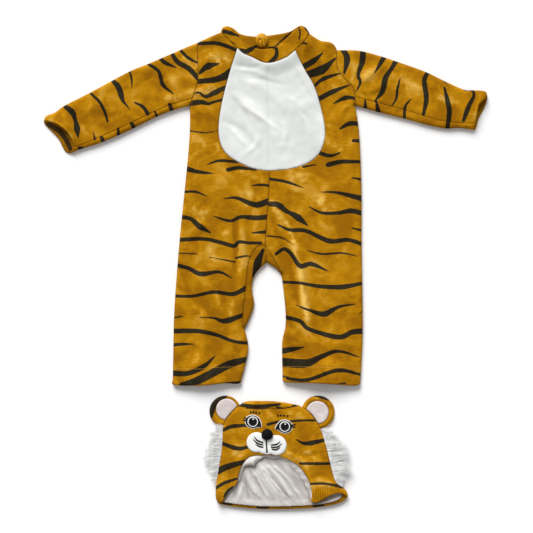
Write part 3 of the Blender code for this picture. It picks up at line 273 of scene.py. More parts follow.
# The print. Each stripe is a path in the photo's pixels and its widths along it, in pixels too. What
# shows is placed after the photo's stripes; backChest, and hatBack below its crown, are made up.
stripeChart = {
    "leftSleeve": [
        ([(66, 107), (73, 113), (76, 121), (77.5, 128), (78.7, 138)], (4.5, 6, 3.5, 6.5, 1)),
        ([(91.4, 94), (100, 102.5), (105, 112), (108, 122)], (2.5, 3, 3, 2)),
        ([(113, 81), (119, 88), (123.3, 101), (127.3, 106), (130.5, 111)], (4, 6, 5.5, 2, 0.8)),
        ([(130, 72), (132, 80), (132, 91)], (2, 2, 0.5)),
        ([(135, 103), (143, 107), (148, 114)], (1.5, 3.5, 4)),
        ([(148, 64), (159, 72), (163, 85), (174, 94.5)], (3, 3.5, 4, 1)),
        ([(160, 58), (165, 63), (176, 68)], (4, 4, 1)),
        ([(172, 54), (178, 62.5), (189, 69), (198, 78.5)], (4, 5, 5, 5)),
        ([(181, 51), (188, 58), (199, 64)], (3, 3, 2)),
        ([(170, 105), (173, 113)], (3.8, 4.2)),
        ([(155, 112), (158, 118)], (2, 3)),
        ([(132, 124), (135.5, 130)], (4, 4)),
        ([(118.5, 129), (119, 136)], (2.5, 3.5)),
        ([(102, 138), (104, 143)], (4, 4)),
        ([(94, 132.5), (95, 139.5)], (0.8, 2.5)),
        ([(79.5, 148), (83, 149)], (3, 3.5)),
    ],
    "leftCuffInside": [
        ([(47, 124), (59, 131), (66, 139.5), (71, 150)], (4, 5, 5, 4)),
    ],
    "rightSleeve": [
        ([(342, 49), (347, 59), (344, 74)], (5, 6.5, 2)),
        ([(363, 50), (362, 62), (358, 75), (360, 83), (356, 92)], (6, 6, 4, 3, 1)),
        ([(384, 57), (379, 66), (374, 74)], (5, 4, 1)),
        ([(396, 61), (390, 71), (385, 79), (382, 92), (374, 102)], (5, 4, 6, 5, 1)),
        ([(400, 78), (397, 90), (396, 99), (391, 107)], (1, 2.5, 2.5, 1)),
        ([(411, 99), (405, 107), (404, 119)], (1, 3, 3)),
        ([(428, 72), (424, 81), (426, 99), (423, 115)], (4, 5, 5, 3)),
        ([(444, 88), (447, 101), (449, 112), (447, 129)], (2, 5, 5, 4)),
        ([(443, 80), (449, 88)], (1.5, 0.5)),
        ([(464, 90), (472, 91), (473, 97), (468, 107), (463, 121)], (2, 2.5, 4, 5, 3)),
        ([(365, 99), (365, 108)], (1, 4)),
        ([(376, 102), (378, 112)], (2, 5)),
    ],
    "frontLeft": [
        ([(197, 44), (218, 44), (237, 51)], (3.5, 4, 3.5)),
        ([(200, 73.5), (207.5, 67), (219.5, 64)], (3, 7, 1)),
        ([(196, 82), (213, 80.5), (224, 77), (231, 73)], (4.5, 5.5, 6.5, 9)),
        ([(192, 95), (199, 93), (205.5, 97), (215, 93), (225, 88)], (1.5, 2, 4, 5.5, 4)),
        ([(190, 104), (200.5, 102.5), (208.5, 104), (213.5, 102.5), (223, 100)], (5, 5.5, 3.5, 2.5, 3)),
        ([(189, 131), (205, 133), (218, 131)], (1.5, 1.5, 0.7)),
        ([(207, 165), (219, 161), (237, 162)], (1, 3, 3)),
        ([(187, 169), (198, 172), (216, 174)], (5, 3.5, 0.5)),
        ([(228, 170), (239, 168), (256, 170)], (4, 3.5, 2)),
        ([(251, 186), (260, 185), (270, 186)], (0.8, 2.5, 2.5)),
        ([(185, 192), (196, 192), (208, 197)], (2.5, 2.5, 0.5)),
        ([(223, 199), (236, 198), (249, 203), (258, 205), (269, 201)], (0.8, 3, 4.5, 6, 6)),
        ([(213, 216), (230, 221), (241, 217), (255, 218), (268, 217)], (0.8, 3, 3.5, 5, 5)),
        ([(181, 217), (191, 219), (199, 226), (211, 233)], (4, 4, 6, 1)),
        ([(251, 233), (267, 232)], (1, 4)),
        ([(178, 240), (203, 239), (219, 242), (234, 246), (239, 242), (249, 243), (261, 243)],
         (4, 4, 3.5, 4, 4, 3, 3)),
        ([(178, 253), (197, 254)], (1.5, 1.2)),
        ([(209, 257), (235, 262)], (0.8, 1.8)),
        ([(236, 258), (246, 256), (251, 257)], (2, 2, 1)),
        ([(175, 265), (188, 268), (201, 274), (219, 272), (232, 278)], (4, 4, 5, 3, 1)),
        ([(174, 296), (193, 296), (214, 292), (233, 294), (246, 288)], (3, 3, 3.5, 4, 5)),
        ([(172, 318), (184, 316)], (2, 1)),
        ([(198, 317), (214, 318), (225, 321), (243, 315)], (0.8, 2, 6, 4)),
        ([(172, 331), (198, 331), (217, 335), (233, 341), (248, 343)], (5, 4.5, 4, 3.5, 3)),
        ([(172, 345), (182, 344), (194, 344)], (3.5, 3, 0.8)),
        ([(216, 355), (204, 366), (188, 373), (171, 373)], (0.8, 5, 5, 6)),
        ([(247, 359), (230, 364), (214, 372), (198, 380), (181, 384)], (5, 8, 8, 8, 3)),
        ([(226, 383), (242, 382)], (2, 3)),
    ],
    "frontRight": [
        ([(299, 45), (303, 43.5), (307, 45)], (1.5, 3, 1.5)),
        ([(302, 68), (314, 61), (323, 53)], (6, 6, 1)),
        ([(305, 76), (322, 70), (335, 59)], (7, 9, 2)),
        ([(312, 89), (322, 80), (342, 73)], (2, 4.5, 1)),
        ([(317, 100), (333, 92), (350, 85)], (5, 5, 1)),
        ([(333, 104), (346, 98), (356, 99)], (1, 4.5, 3)),
        ([(340, 129), (349, 124), (359, 124)], (2, 5, 4)),
        ([(353, 141), (361, 141)], (3, 4)),
        ([(316, 152), (330, 156), (340, 153)], (4, 4, 1.5)),
        ([(269, 179), (286, 182), (306, 189)], (3, 3, 0.5)),
        ([(268, 204), (278, 205), (286, 211), (297, 217), (308, 226)], (5, 6, 4, 7, 1)),
        ([(321, 192), (338, 193), (363, 199)], (1, 3.5, 6)),
        ([(309, 207), (322, 213), (338, 213), (351, 211), (364, 214)], (1, 3, 3.5, 5, 5)),
        ([(328, 165), (341, 162), (363, 162)], (5, 4, 3)),
        ([(303, 167), (316, 165)], (2.5, 1)),
        ([(352, 178), (363, 180)], (1.5, 3)),
        ([(278, 225), (290, 230), (306, 231), (329, 241), (348, 240), (364, 245)], (1.5, 4, 4, 5, 4, 4)),
        ([(352, 228), (363, 231)], (1.5, 2.5)),
        ([(267, 236), (282, 238), (294, 245)], (1.5, 1.5, 0.7)),
        ([(305, 250), (322, 254), (341, 253), (357, 256)], (0.7, 2, 2, 1)),
        ([(276, 254), (284, 249), (291, 254), (300, 266), (311, 264), (328, 271)], (3, 4, 4, 5, 4, 1)),
        ([(282, 282), (300, 283), (317, 286), (341, 287), (364, 283)], (3, 3, 4, 5, 3)),
        ([(296, 305), (309, 310), (324, 314), (338, 307), (355, 304)], (0.8, 3, 6, 3, 1)),
        ([(365, 308), (358, 315)], (1.8, 0.8)),
        ([(285, 317), (300, 321), (309, 329), (338, 337), (352, 332), (365, 331)], (4, 4, 4, 5, 5, 6)),
        ([(281, 351), (293, 349), (304, 347)], (6, 5, 1)),
        ([(281, 362), (306, 363), (322, 356), (338, 351), (360, 357)], (9, 9, 5, 3, 1)),
        ([(281, 376), (293, 379), (309, 379), (338, 370), (363, 375)], (3, 3.5, 4, 4, 2)),
        ([(337, 383), (345, 383)], (1, 2)),
    ],
    "crotchFold": [
        ([(263, 250), (258, 262), (254, 276)], (3, 8, 4)),
        ([(282, 262), (276, 256)], (2, 1)),
    ],
    "collar": [
        ([(224, 32), (231, 34), (238, 36)], (4, 4, 2.5)),
        ([(241, 51), (247, 52), (257, 46)], (4, 5, 2.5)),
        ([(269, 48), (276, 49), (276, 57), (270, 63)], (2.5, 3, 4.5, 4)),
        ([(275.5, 46.4), (286.7, 36.3), (297.8, 27.9)], (1.5, 2.2, 1.2)),
        ([(303.4, 26.7), (309.8, 34.7)], (1, 2)),
        ([(298, 26), (300, 33), (299, 40)], (1.5, 1.5, 1.5)),
        ([(227, 40), (234, 45)], (1, 2)),
    ],
    "hat": [
        ([(223, 430), (232, 426), (246, 425)], (3, 4, 3)),
        ([(222, 443), (238, 448), (250, 446)], (3.5, 4.5, 3)),
        ([(217, 471), (228, 466), (246, 461)], (7, 6, 4)),
        ([(215, 488), (225, 482), (237, 478)], (3, 3.5, 2)),
        ([(268, 424), (279, 421)], (3, 2)),
        ([(290, 421), (302, 420), (316, 420)], (2.5, 2, 2)),
        ([(296, 439), (306, 443), (327, 439)], (1, 5, 3)),
        ([(300, 463), (313, 463), (333, 463)], (2.5, 3, 2.5)),
        ([(311, 483), (326, 483), (345, 487)], (2.5, 2.5, 3)),
        ([(233, 486), (228, 490), (224, 496)], (1.5, 3, 1.5)),
        ([(246, 408), (262, 408), (280, 406)], (0.8, 2, 1)),
    ],
    "hatBack": [
        ([(238, 404), (252, 406), (261, 406), (280, 404)], (3, 4, 3.5, 2.5)),
        ([(277, 407), (287, 409), (297, 404)], (2, 4, 2)),
        ([(224, 425), (250, 430), (284, 426)], (2, 5, 1)),
        ([(300, 422), (318, 428)], (1, 4)),
        ([(219, 450), (240, 446), (258, 452)], (5, 4, 1)),
        ([(272, 446), (300, 452), (328, 446)], (1, 6, 4)),
        ([(217, 474), (244, 470), (276, 476), (300, 470)], (4, 5, 6, 1)),
        ([(316, 474), (336, 470)], (1, 5)),
        ([(220, 494), (240, 490)], (5, 1)),
        ([(270, 494), (300, 490), (338, 492)], (1, 4, 5)),
    ],
    "hatHem": [
        ([(258, 507), (263, 507), (268, 507)], (3, 7, 3)),
        ([(313.5, 506), (318, 505.5), (323, 505)], (3, 7, 3)),
        ([(225, 503), (233, 504)], (5, 2)),
    ],
    "leftEar": [([(224, 395), (215, 401), (210, 417)], (7, 7.5, 5))],
    "rightEar": [([(315, 395), (321, 396), (328, 399)], (3, 5, 3))],
    "backChest": [
        ([(200, 60), (222, 66), (246, 60)], (2, 6, 1)),
        ([(262, 58), (284, 64), (304, 58)], (1, 5, 2)),
        ([(194, 112), (220, 108), (250, 114)], (4, 5, 1)),
        ([(270, 96), (296, 102), (322, 96)], (1, 5, 3)),
        ([(256, 128), (284, 134), (310, 126)], (1, 5, 1)),
        ([(212, 140), (240, 146), (262, 140)], (1, 4, 2)),
        ([(232, 84), (252, 88), (270, 82)], (1, 4, 1)),
        ([(330, 114), (346, 108), (360, 110)], (1, 4, 4)),
    ],
}


# Plane geometry.
def evenly(line, step):
    along = np.concatenate([[0], np.cumsum(np.linalg.norm(np.diff(line, axis=0), axis=1))])
    at = np.linspace(0, along[-1], max(2, math.ceil(along[-1] / step) + 1))
    return np.stack([np.interp(at, along, line[:, k]) for k in (0, 1)], axis=1)


def smoothLine(points, step):
    p = np.array(points, float)
    if len(p) > 2:
        ends = np.vstack([2 * p[0] - p[1], p, 2 * p[-1] - p[-2]])
        t = np.linspace(0, 1, 12, endpoint=False)[:, None]
        spans = []
        for a, b, c, d in zip(ends[:-3], ends[1:-2], ends[2:-1], ends[3:]):
            cubic = (2 * a - 5 * b + 4 * c - d) * t**2 + (3 * b - a - 3 * c + d) * t**3
            spans.append(0.5 * (2 * b + (c - a) * t + cubic))
        p = np.vstack([*spans, p[-1:]])
    return evenly(p, step)


def nearestTo(points, line, reach):
    # Distance to a line, up to reach; the unit vector from the line; how far along the line that place is.
    far = np.full(len(points), float(reach))
    away = np.zeros((len(points), 2))
    along = np.zeros(len(points))
    start = 0.0
    for a, b in zip(line[:-1], line[1:]):
        step = b - a
        size = math.hypot(*step)
        low, high = np.minimum(a, b) - reach, np.maximum(a, b) + reach
        near = np.flatnonzero(((points > low) & (points < high)).all(1))
        if len(near) and size > 0:
            share = np.clip((points[near] - a) @ step / size**2, 0, 1)
            offset = points[near] - a - share[:, None] * step
            gap = np.hypot(offset[:, 0], offset[:, 1])
            closer = gap < far[near]
            chosen = near[closer]
            side = np.array([-step[1], step[0]]) / size
            unit = np.where(gap[:, None] > 1e-4, offset / np.maximum(gap, 1e-9)[:, None], side)
            far[chosen] = gap[closer]
            away[chosen] = unit[closer]
            along[chosen] = start + share[closer] * size
        start += size
    return far, away, along / max(start, 1e-9)


def insideOf(points, polygon):
    x, y = points[:, 0], points[:, 1]
    found = np.zeros(len(points), bool)
    for (x0, y0), (x1, y1) in zip(polygon, np.roll(polygon, -1, axis=0)):
        crosses = (y0 > y) != (y1 > y)
        found ^= crosses & (x < (x1 - x0) * (y - y0) / (y1 - y0 + 1e-12) + x0)
    return found


def areaOf(polygon):
    x, y = polygon.T
    return 0.5 * float((x * np.roll(y, -1) - np.roll(x, -1) * y).sum())


def ease(x):
    x = np.clip(x, 0, 1)
    return x * x * (3 - 2 * x)


def softNoise(points, cell, seed):
    # Smooth values from -1 to 1 over the plane, one new value a cell.
    table = np.random.default_rng(seed).uniform(-1, 1, (64, 64))
    at = points / cell
    low = np.floor(at).astype(int)
    part = ease(at - low)
    a, b = low[:, 0] % 64, low[:, 1] % 64
    c, d = (a + 1) % 64, (b + 1) % 64
    u, v = part[:, 0], part[:, 1]
    return (table[a, b] * (1 - u) + table[c, b] * u) * (1 - v) + (table[a, d] * (1 - u) + table[c, d] * u) * v


def graded(line, startOnEdge, endOnEdge, step):
    # More points where a line meets a rounded side, so that its rim follows the round.
    fine = evenly(line, 0.5)
    along = np.concatenate([[0], np.cumsum(np.linalg.norm(np.diff(fine, axis=0), axis=1))])
    total = along[-1]
    rings = [cloth["edgeRound"] * share for share in ringShares]
    low = rings[-1] if startOnEdge else 0
    high = total - (rings[-1] if endOnEdge else 0)
    at = list(np.linspace(low, high, max(2, math.ceil((high - low) / step) + 1)))
    if startOnEdge:
        at = [0, *rings[:-1], *at]
    if endOnEdge:
        at = [*at, *(total - ring for ring in reversed(rings[:-1])), total]
    return np.stack([np.interp(at, along, fine[:, k]) for k in (0, 1)], axis=1)


def outlineOf(lines, parts):
    # A closed outline of named curves; seams are drawn back by half the seam gap.
    points, tags = [], []
    for name, kind in parts:
        line = lines[name.lstrip("-")]
        line = line[::-1] if name.startswith("-") else line
        points += list(line[:-1])
        tags += [kind] * (len(line) - 1)
    points = np.array(points)
    if areaOf(points) < 0:
        points, tags = points[::-1], tags[-2::-1] + tags[-1:]
    step = np.roll(points, -1, axis=0) - points
    step /= np.linalg.norm(step, axis=1)[:, None]
    inward = np.stack([-step[:, 1], step[:, 0]], axis=1)
    back = np.array([cloth["seamGap"] / 2 if tag == "seam" else 0.0 for tag in tags])
    moved = points.copy()
    for i in range(len(points)):
        rows = np.array([inward[i - 1], inward[i]])
        wanted = np.array([back[i - 1], back[i]])
        if abs(np.linalg.det(rows)) < 0.2:
            moved[i] += (inward[i - 1] + inward[i]) / 2 * wanted.max()
        else:
            moved[i] += np.linalg.solve(rows, wanted)
    return moved, tags


def filledIn(lines, parts, step):
    # Points and triangles of an outline's inside, with rings along its rounded sides.
    edge, tags = outlineOf(lines, parts)
    roundLines = [lines[name.lstrip("-")] for name, kind in parts if kind == "round"]
    otherLines = [lines[name.lstrip("-")] for name, kind in parts if kind != "round"]
    rings = []
    count = len(edge)
    for share in ringShares:
        distance = share * cloth["edgeRound"]
        ring = []
        for i in range(count):
            if tags[i - 1] == "round" and tags[i] == "round":
                way = edge[(i + 1) % count] - edge[i - 1]
                ring.append(edge[i] + np.array([-way[1], way[0]]) / np.linalg.norm(way) * distance)
        if ring:
            ring = np.array(ring)
            ring = ring[insideOf(ring, edge)]
            gap = clearance(ring, roundLines, distance + 2)
            ring = ring[(gap > distance * 0.97) & (clearance(ring, otherLines, 3) > 0.7)]
            rings.append(ring)
    low, high = edge.min(0), edge.max(0)
    rows = int((high[1] - low[1]) / (step * 0.866)) + 2
    columns = int((high[0] - low[0]) / step) + 2
    j, i = np.mgrid[0:rows, 0:columns]
    grid = np.stack([low[0] + (i + 0.5 * (j % 2)) * step, low[1] + j * step * 0.866], axis=-1).reshape(-1, 2)
    grid = grid[insideOf(grid, edge)]
    grid = grid[clearance(grid, roundLines, cloth["edgeRound"] + step) > cloth["edgeRound"] + step * 0.5]
    grid = grid[clearance(grid, otherLines, step) > step * 0.5]
    every = np.vstack([edge, *rings, grid])
    edges = [(k, (k + 1) % count) for k in range(count)]
    made = delaunay_2d_cdt([Vector(p) for p in every], edges, [], 1, 1e-4)
    return np.array([tuple(v) for v in made[0]]), [tuple(face) for face in made[2]]


def clearance(points, lines, reach):
    far = np.full(len(points), float(reach))
    for line in lines:
        far = np.minimum(far, nearestTo(points, line, reach)[0])
    return far


# Heights.
def creaseHeight(points, creases):
    height = np.zeros(len(points))
    for crease in creases:
        line = smoothLine(crease["path"], 4.0)
        far, _, along = nearestTo(points, line, crease["half"] * 2.6)
        length = np.linalg.norm(np.diff(line, axis=0), axis=1).sum()
        ends = np.minimum(along, 1 - along) * length
        taper = 0.35 + 0.65 * ease(ends / (2.5 * crease["half"]))
        height += crease["rise"] * taper * np.exp(-((far / crease["half"]) ** 2))
    return height


def suitTop(points):
    height = cloth["suitTop"] + creaseHeight(points, suitCreases)
    height += 0.45 * softNoise(points, 26, 3) + 0.28 * softNoise(points, 11, 4)
    for mouth in mouths:
        far = np.linalg.norm(points - np.array(mouth["at"]), axis=1)
        height += mouth["rise"] * (1 - ease(far / mouth["reach"]))
    far = nearestTo(points, neckLine, neckRiseReach)[0]
    over = points[:, 1] > np.interp(points[:, 0], neckLine[:, 0], neckLine[:, 1])
    share = np.where(over, 1.0, 1 - ease(far / neckRiseReach))
    height += (cloth["collarTop"] - cloth["suitTop"]) * share
    return np.maximum(height, cloth["leastTop"])


def hatTopHeight(points):
    height = cloth["hatTop"] + cloth["hatBrimRise"] * ease((-352 - points[:, 1]) / 36)
    height += creaseHeight(points, hatCreases)
    height += 0.35 * softNoise(points, 14, 5) + 0.2 * softNoise(points, 6, 6)
    return height + hatRibs["rise"] * ribMask(points) * np.sin(points[:, 0] * 2 * math.pi / hatRibs["size"])


def ribMask(points):
    # The front is gathered in upright ribs beside the face opening's right end.
    low, high = np.array(hatRibs["low"]), np.array(hatRibs["high"])
    inside = np.minimum(points - low, high - points) / hatRibs["fade"]
    return ease(inside[:, 0]) * ease(inside[:, 1])


def slopeOf(top, points, reach=0.5):
    right, up = np.array([reach, 0]), np.array([0, reach])
    return np.stack([top(points + right) - top(points - right), top(points + up) - top(points - up)], axis=1)


def hemLift(points):
    # The hat's lower hem curls up off the floor, most of all in its middle.
    return 3.6 * (1 - ease(nearestTo(points, hatLines["backHem"], 20)[0] / 16))


def wallPoints(points, sides, top, upper, start, seams, softSeams, floorOf):
    # Outer points of a wall and the vectors that point out of the cloth. Seams pinch the pile down.
    reach = cloth["edgeRound"] + 1
    found = [nearestTo(points, side, reach) for side in sides]
    far = np.min([each[0] for each in found], axis=0)
    away = sum(each[1] * np.exp((far - each[0]) / 0.8)[:, None] for each in found)
    away /= np.maximum(np.linalg.norm(away, axis=1), 1e-6)[:, None]
    share = np.clip(np.where(far < 0.01, 0.0, far) / cloth["edgeRound"], 0, 1)
    curve = np.sqrt(np.maximum(1 - (1 - share) ** 2, 0))
    rise = (top(points) if upper else floorOf(points)) - start
    height = start + rise * curve
    tilt = slopeOf(top, points) if upper else np.zeros((len(points), 2))
    flat = -(curve**2)[:, None] * tilt - (np.abs(rise) / cloth["edgeRound"] * (1 - share))[:, None] * away
    out = np.column_stack([flat, curve if upper else -curve])
    out /= np.linalg.norm(out, axis=1)[:, None]
    pinch = np.exp(-((clearance(points, seams, 9) / cloth["seamReach"]) ** 2))
    soft = np.exp(-((clearance(points, softSeams, 9) / (1.5 * cloth["seamReach"])) ** 2))
    pinch = np.maximum(pinch, cloth["softSeam"] * soft)
    depth = cloth["seamPinch"] if upper else 0.5
    outer = np.column_stack([points, height]) - out * (depth * pinch)[:, None]
    return outer, out, pinch


# Print.
def stripeField(points, charts):
    # Distance outside the nearest stripe, negative inside, no more than 4 mm.
    field = np.full(len(points), 4.0)
    for stripes in charts:
        for path, widths in stripes:
            line = [((x - photoMiddle[0]) * pixelSize, (photoMiddle[1] - y) * pixelSize) for x, y in path]
            far, _, along = nearestTo(points, smoothLine(line, 2.5), 16)
            width = np.interp(along, np.linspace(0, 1, len(widths)), np.array(widths) * pixelSize)
            field = np.minimum(field, far - width / 2)
    return field


def turnedOver(stripes, shift):
    # The same print on a hidden side: mirrored across the photo's middle and moved.
    return [([(2 * photoMiddle[0] - x + shift[0], y + shift[1]) for x, y in path], widths)
            for path, widths in stripes]


# Meshes.
def makeObject(name, points, faces, materials, attributes=None, faceMaterials=None):
    mesh = bpy.data.meshes.new(name)
    mesh.from_pydata((np.asarray(points) * mm).tolist(), [], faces)
    for material in materials:
        mesh.materials.append(material)
    if faceMaterials is not None:
        mesh.polygons.foreach_set("material_index", faceMaterials)
    for key, values in (attributes or {}).items():
        mesh.attributes.new(key, "FLOAT", "POINT").data.foreach_set("value", np.asarray(values, np.float32))
    mesh.shade_smooth()
    mesh.update()
    piece = bpy.data.objects.new(name, mesh)
    bpy.context.scene.collection.objects.link(piece)
    return piece


def weldedPatches(patches):
    # One surface from several patches: points that fall together are made one.
    points = np.vstack([patch["points"] for patch in patches])
    out = np.vstack([patch["out"] for patch in patches])
    values = {key: np.concatenate([patch["values"][key] for patch in patches])
              for key in patches[0]["values"]}
    faces = []
    count = 0
    for patch in patches:
        flip = 1 if patch["upper"] else -1
        faces += [tuple(i + count for i in face[::flip]) for face in patch["faces"]]
        count += len(patch["points"])
    _, first, index = np.unique(np.round(points, 3), axis=0, return_index=True, return_inverse=True)
    index = index.reshape(-1)
    faces = [tuple(int(index[i]) for i in face) for face in faces]
    faces = [face for face in faces if len(set(face)) == 3]
    return points[first], out[first], {key: value[first] for key, value in values.items()}, faces


def rimOf(faces):
    edges = {(a, b) for face in faces for a, b in zip(face, face[1:] + face[:1])}
    return [(a, b) for a, b in edges if (b, a) not in edges]


def clothPiece(name, patches, wallOf, openLines, materials, paintedShade=1.0):
    # A closed cloth wall. Its open edges are turned hems, so they bulge; its seams are square.
    points, out, values, faces = weldedPatches(patches)
    wall = wallOf(points[:, :2])
    inner = points - out * wall[:, None]
    size = len(points)
    rim = rimOf(faces)
    sideways = np.zeros((size, 3))
    for a, b in rim:
        way = points[b] - points[a]
        push = np.cross(way, out[a] + out[b])
        push /= max(np.linalg.norm(push), 1e-9)
        sideways[a] += push
        sideways[b] += push
    onRim = sorted({i for edge in rim for i in edge})
    sideways[onRim] /= np.maximum(np.linalg.norm(sideways[onRim], axis=1), 1e-9)[:, None]
    bulge = np.where(clearance(points[onRim][:, :2], openLines, 2) < 0.4, cloth["hemBulge"], 0.0)
    middle = (points[onRim] + inner[onRim]) / 2 + sideways[onRim] * bulge[:, None]
    middle[:, 2] = np.maximum(middle[:, 2], 0.2)
    at = {vertex: 2 * size + k for k, vertex in enumerate(onRim)}
    band = [(b, a, at[a], at[b]) for a, b in rim] + [(at[b], at[a], a + size, b + size) for a, b in rim]
    every = faces + [tuple(i + size for i in face[::-1]) for face in faces] + band
    both = {}
    for key, value in values.items():
        if key.endswith("Inside"):
            continue
        under = values.get(key + "Inside", value)
        both[key] = np.concatenate([value, under, value[onRim]])
    # The inner faces, and the rim a little, are marked to be painted darker, as shade.
    both["inside"] = paintedShade * np.concatenate([np.zeros(size), np.ones(size), np.full(len(onRim), 0.3)])
    return makeObject(name, np.vstack([points, inner, middle]), every, materials, both)


print("geometry ready")


# Materials.
def addNode(tree, kind, inputs=None, **settings):
    node = tree.nodes.new(kind)
    for key, value in settings.items():
        setattr(node, key, value)
    for key, value in (inputs or {}).items():
        if isinstance(value, bpy.types.NodeSocket):
            tree.links.new(value, node.inputs[key])
        else:
            node.inputs[key].default_value = value
    return node


def mixColour(tree, factor, first, second, blend="MIX"):
    node = tree.nodes.new("ShaderNodeMix")
    node.data_type = "RGBA"
    node.blend_type = blend
    for index, value in ((0, factor), (6, first), (7, second)):
        if isinstance(value, bpy.types.NodeSocket):
            tree.links.new(value, node.inputs[index])
        else:
            node.inputs[index].default_value = value
    return node.outputs[2]


def combine(tree, operation, *values):
    node = tree.nodes.new("ShaderNodeMath")
    node.operation = operation
    for socket, value in zip(node.inputs, values):
        if isinstance(value, bpy.types.NodeSocket):
            tree.links.new(value, socket)
        else:
            socket.default_value = value
    return node.outputs[0]


def makePileGroup():
    # Brushed pile: large patches where the nap lies the other way, fine streaks, and tufts for the bump.
    group = bpy.data.node_groups.new("brushedPile", "ShaderNodeTree")
    face = group.interface
    face.new_socket("Patch Scale", in_out="INPUT", socket_type="NodeSocketFloat").default_value = 34
    face.new_socket("Streak Scale", in_out="INPUT", socket_type="NodeSocketFloat").default_value = 180
    face.new_socket("Tuft Scale", in_out="INPUT", socket_type="NodeSocketFloat").default_value = 750
    face.new_socket("Tone", in_out="OUTPUT", socket_type="NodeSocketFloat")
    face.new_socket("Tufts", in_out="OUTPUT", socket_type="NodeSocketFloat")
    given = group.nodes.new("NodeGroupInput")
    result = group.nodes.new("NodeGroupOutput")
    place = group.nodes.new("ShaderNodeTexCoord").outputs["Object"]
    stretched = addNode(group, "ShaderNodeMapping", {"Vector": place, "Scale": (0.55, 1.6, 1.0)}).outputs[0]
    patches = addNode(group, "ShaderNodeTexNoise",
                      {"Vector": place, "Scale": given.outputs[0], "Detail": 3.5, "Roughness": 0.58,
                       "Distortion": 0.8}).outputs[0]
    streaks = addNode(group, "ShaderNodeTexNoise",
                      {"Vector": stretched, "Scale": given.outputs[1], "Detail": 3.0,
                       "Roughness": 0.6}).outputs[0]
    tufts = addNode(group, "ShaderNodeTexNoise",
                    {"Vector": place, "Scale": given.outputs[2], "Detail": 2.0, "Roughness": 0.7}).outputs[0]
    mixed = combine(group, "MULTIPLY_ADD", patches, 0.68, combine(group, "MULTIPLY", streaks, 0.18))
    mixed = combine(group, "MULTIPLY_ADD", tufts, 0.14, mixed)
    spread = addNode(group, "ShaderNodeMapRange",
                     {"Value": mixed, "From Min": 0.38, "From Max": 0.64, "To Min": 0.0, "To Max": 1.0},
                     interpolation_type="SMOOTHSTEP")
    group.links.new(spread.outputs[0], result.inputs["Tone"])
    height = combine(group, "MULTIPLY_ADD", tufts, 0.7, combine(group, "MULTIPLY", streaks, 0.3))
    group.links.new(height, result.inputs["Tufts"])
    return group


pileGroup = makePileGroup()


def startMaterial(name, roughness, sheen, sheenRoughness, sheenTint, specular=0.25):
    material = bpy.data.materials.new(name)
    material.use_nodes = True
    shader = material.node_tree.nodes["Principled BSDF"]
    shader.inputs["Roughness"].default_value = roughness
    shader.inputs["Sheen Weight"].default_value = sheen
    shader.inputs["Sheen Roughness"].default_value = sheenRoughness
    shader.inputs["Sheen Tint"].default_value = (*sheenTint, 1)
    shader.inputs["Specular IOR Level"].default_value = specular
    return material, material.node_tree, shader


def pileNode(tree, patchScale, streakScale, tuftScale):
    node = tree.nodes.new("ShaderNodeGroup")
    node.node_tree = pileGroup
    for socket, value in zip(node.inputs, (patchScale, streakScale, tuftScale)):
        socket.default_value = value
    return node


def addBump(tree, shader, height, distance, strength=1.0):
    bump = addNode(tree, "ShaderNodeBump", {"Height": height, "Distance": distance, "Strength": strength})
    tree.links.new(bump.outputs[0], shader.inputs["Normal"])


def attributeOf(tree, name):
    return addNode(tree, "ShaderNodeAttribute", attribute_name=name).outputs["Fac"]


tigerLook = {
    "deep": (0.29, 0.115, 0.001, 1),
    "golden": (0.47, 0.21, 0.002, 1),
    "pale": (0.79, 0.49, 0.10, 1),
    "stripe": (0.013, 0.010, 0.005, 1),
    "stripePale": (0.044, 0.036, 0.020, 1),
    "hollowShade": (0.10, 0.042, 0.003, 1),
}


def makeTigerPlush():
    material, tree, shader = startMaterial("tigerPlush", 0.9, 0.05, 0.5, (1.0, 0.62, 0.12), 0.06)
    pile = pileNode(tree, 22, 170, 760)
    tone = combine(tree, "ADD", pile.outputs["Tone"], attributeOf(tree, "nap"))
    ramp = addNode(tree, "ShaderNodeValToRGB", {"Fac": combine(tree, "MULTIPLY", tone, 0.5)})
    stops = ramp.color_ramp.elements
    stops[0].position, stops[0].color = 0.0, tigerLook["deep"]
    stops[1].position, stops[1].color = 1.0, tigerLook["pale"]
    middle = stops.new(0.42)
    middle.color = tigerLook["golden"]
    colour = ramp.outputs["Color"]
    place = tree.nodes.new("ShaderNodeTexCoord").outputs["Object"]
    ragged = addNode(tree, "ShaderNodeTexNoise", {"Vector": place, "Scale": 520.0, "Detail": 2.0}).outputs[0]
    edge = combine(tree, "ADD", attributeOf(tree, "stripe"), combine(tree, "MULTIPLY_ADD", ragged, 1.6, -0.8))
    mask = addNode(tree, "ShaderNodeMapRange",
                   {"Value": edge, "From Min": -0.35, "From Max": 0.55, "To Min": 1.0, "To Max": 0.0},
                   interpolation_type="SMOOTHSTEP").outputs[0]
    dark = mixColour(tree, combine(tree, "MULTIPLY", tone, 0.6), tigerLook["stripe"], tigerLook["stripePale"])
    colour = mixColour(tree, mask, colour, dark)
    # The inner faces and the pinched seams are painted darker, as shade.
    paintedShade = combine(tree, "MULTIPLY", attributeOf(tree, "inside"), 0.25)
    paintedShade = combine(tree, "MULTIPLY_ADD", attributeOf(tree, "seam"), 0.32, paintedShade)
    colour = mixColour(tree, combine(tree, "MINIMUM", paintedShade, 0.7), colour, tigerLook["hollowShade"])
    tree.links.new(colour, shader.inputs["Base Color"])
    addBump(tree, shader, pile.outputs["Tufts"], 0.0012, 0.7)
    return material


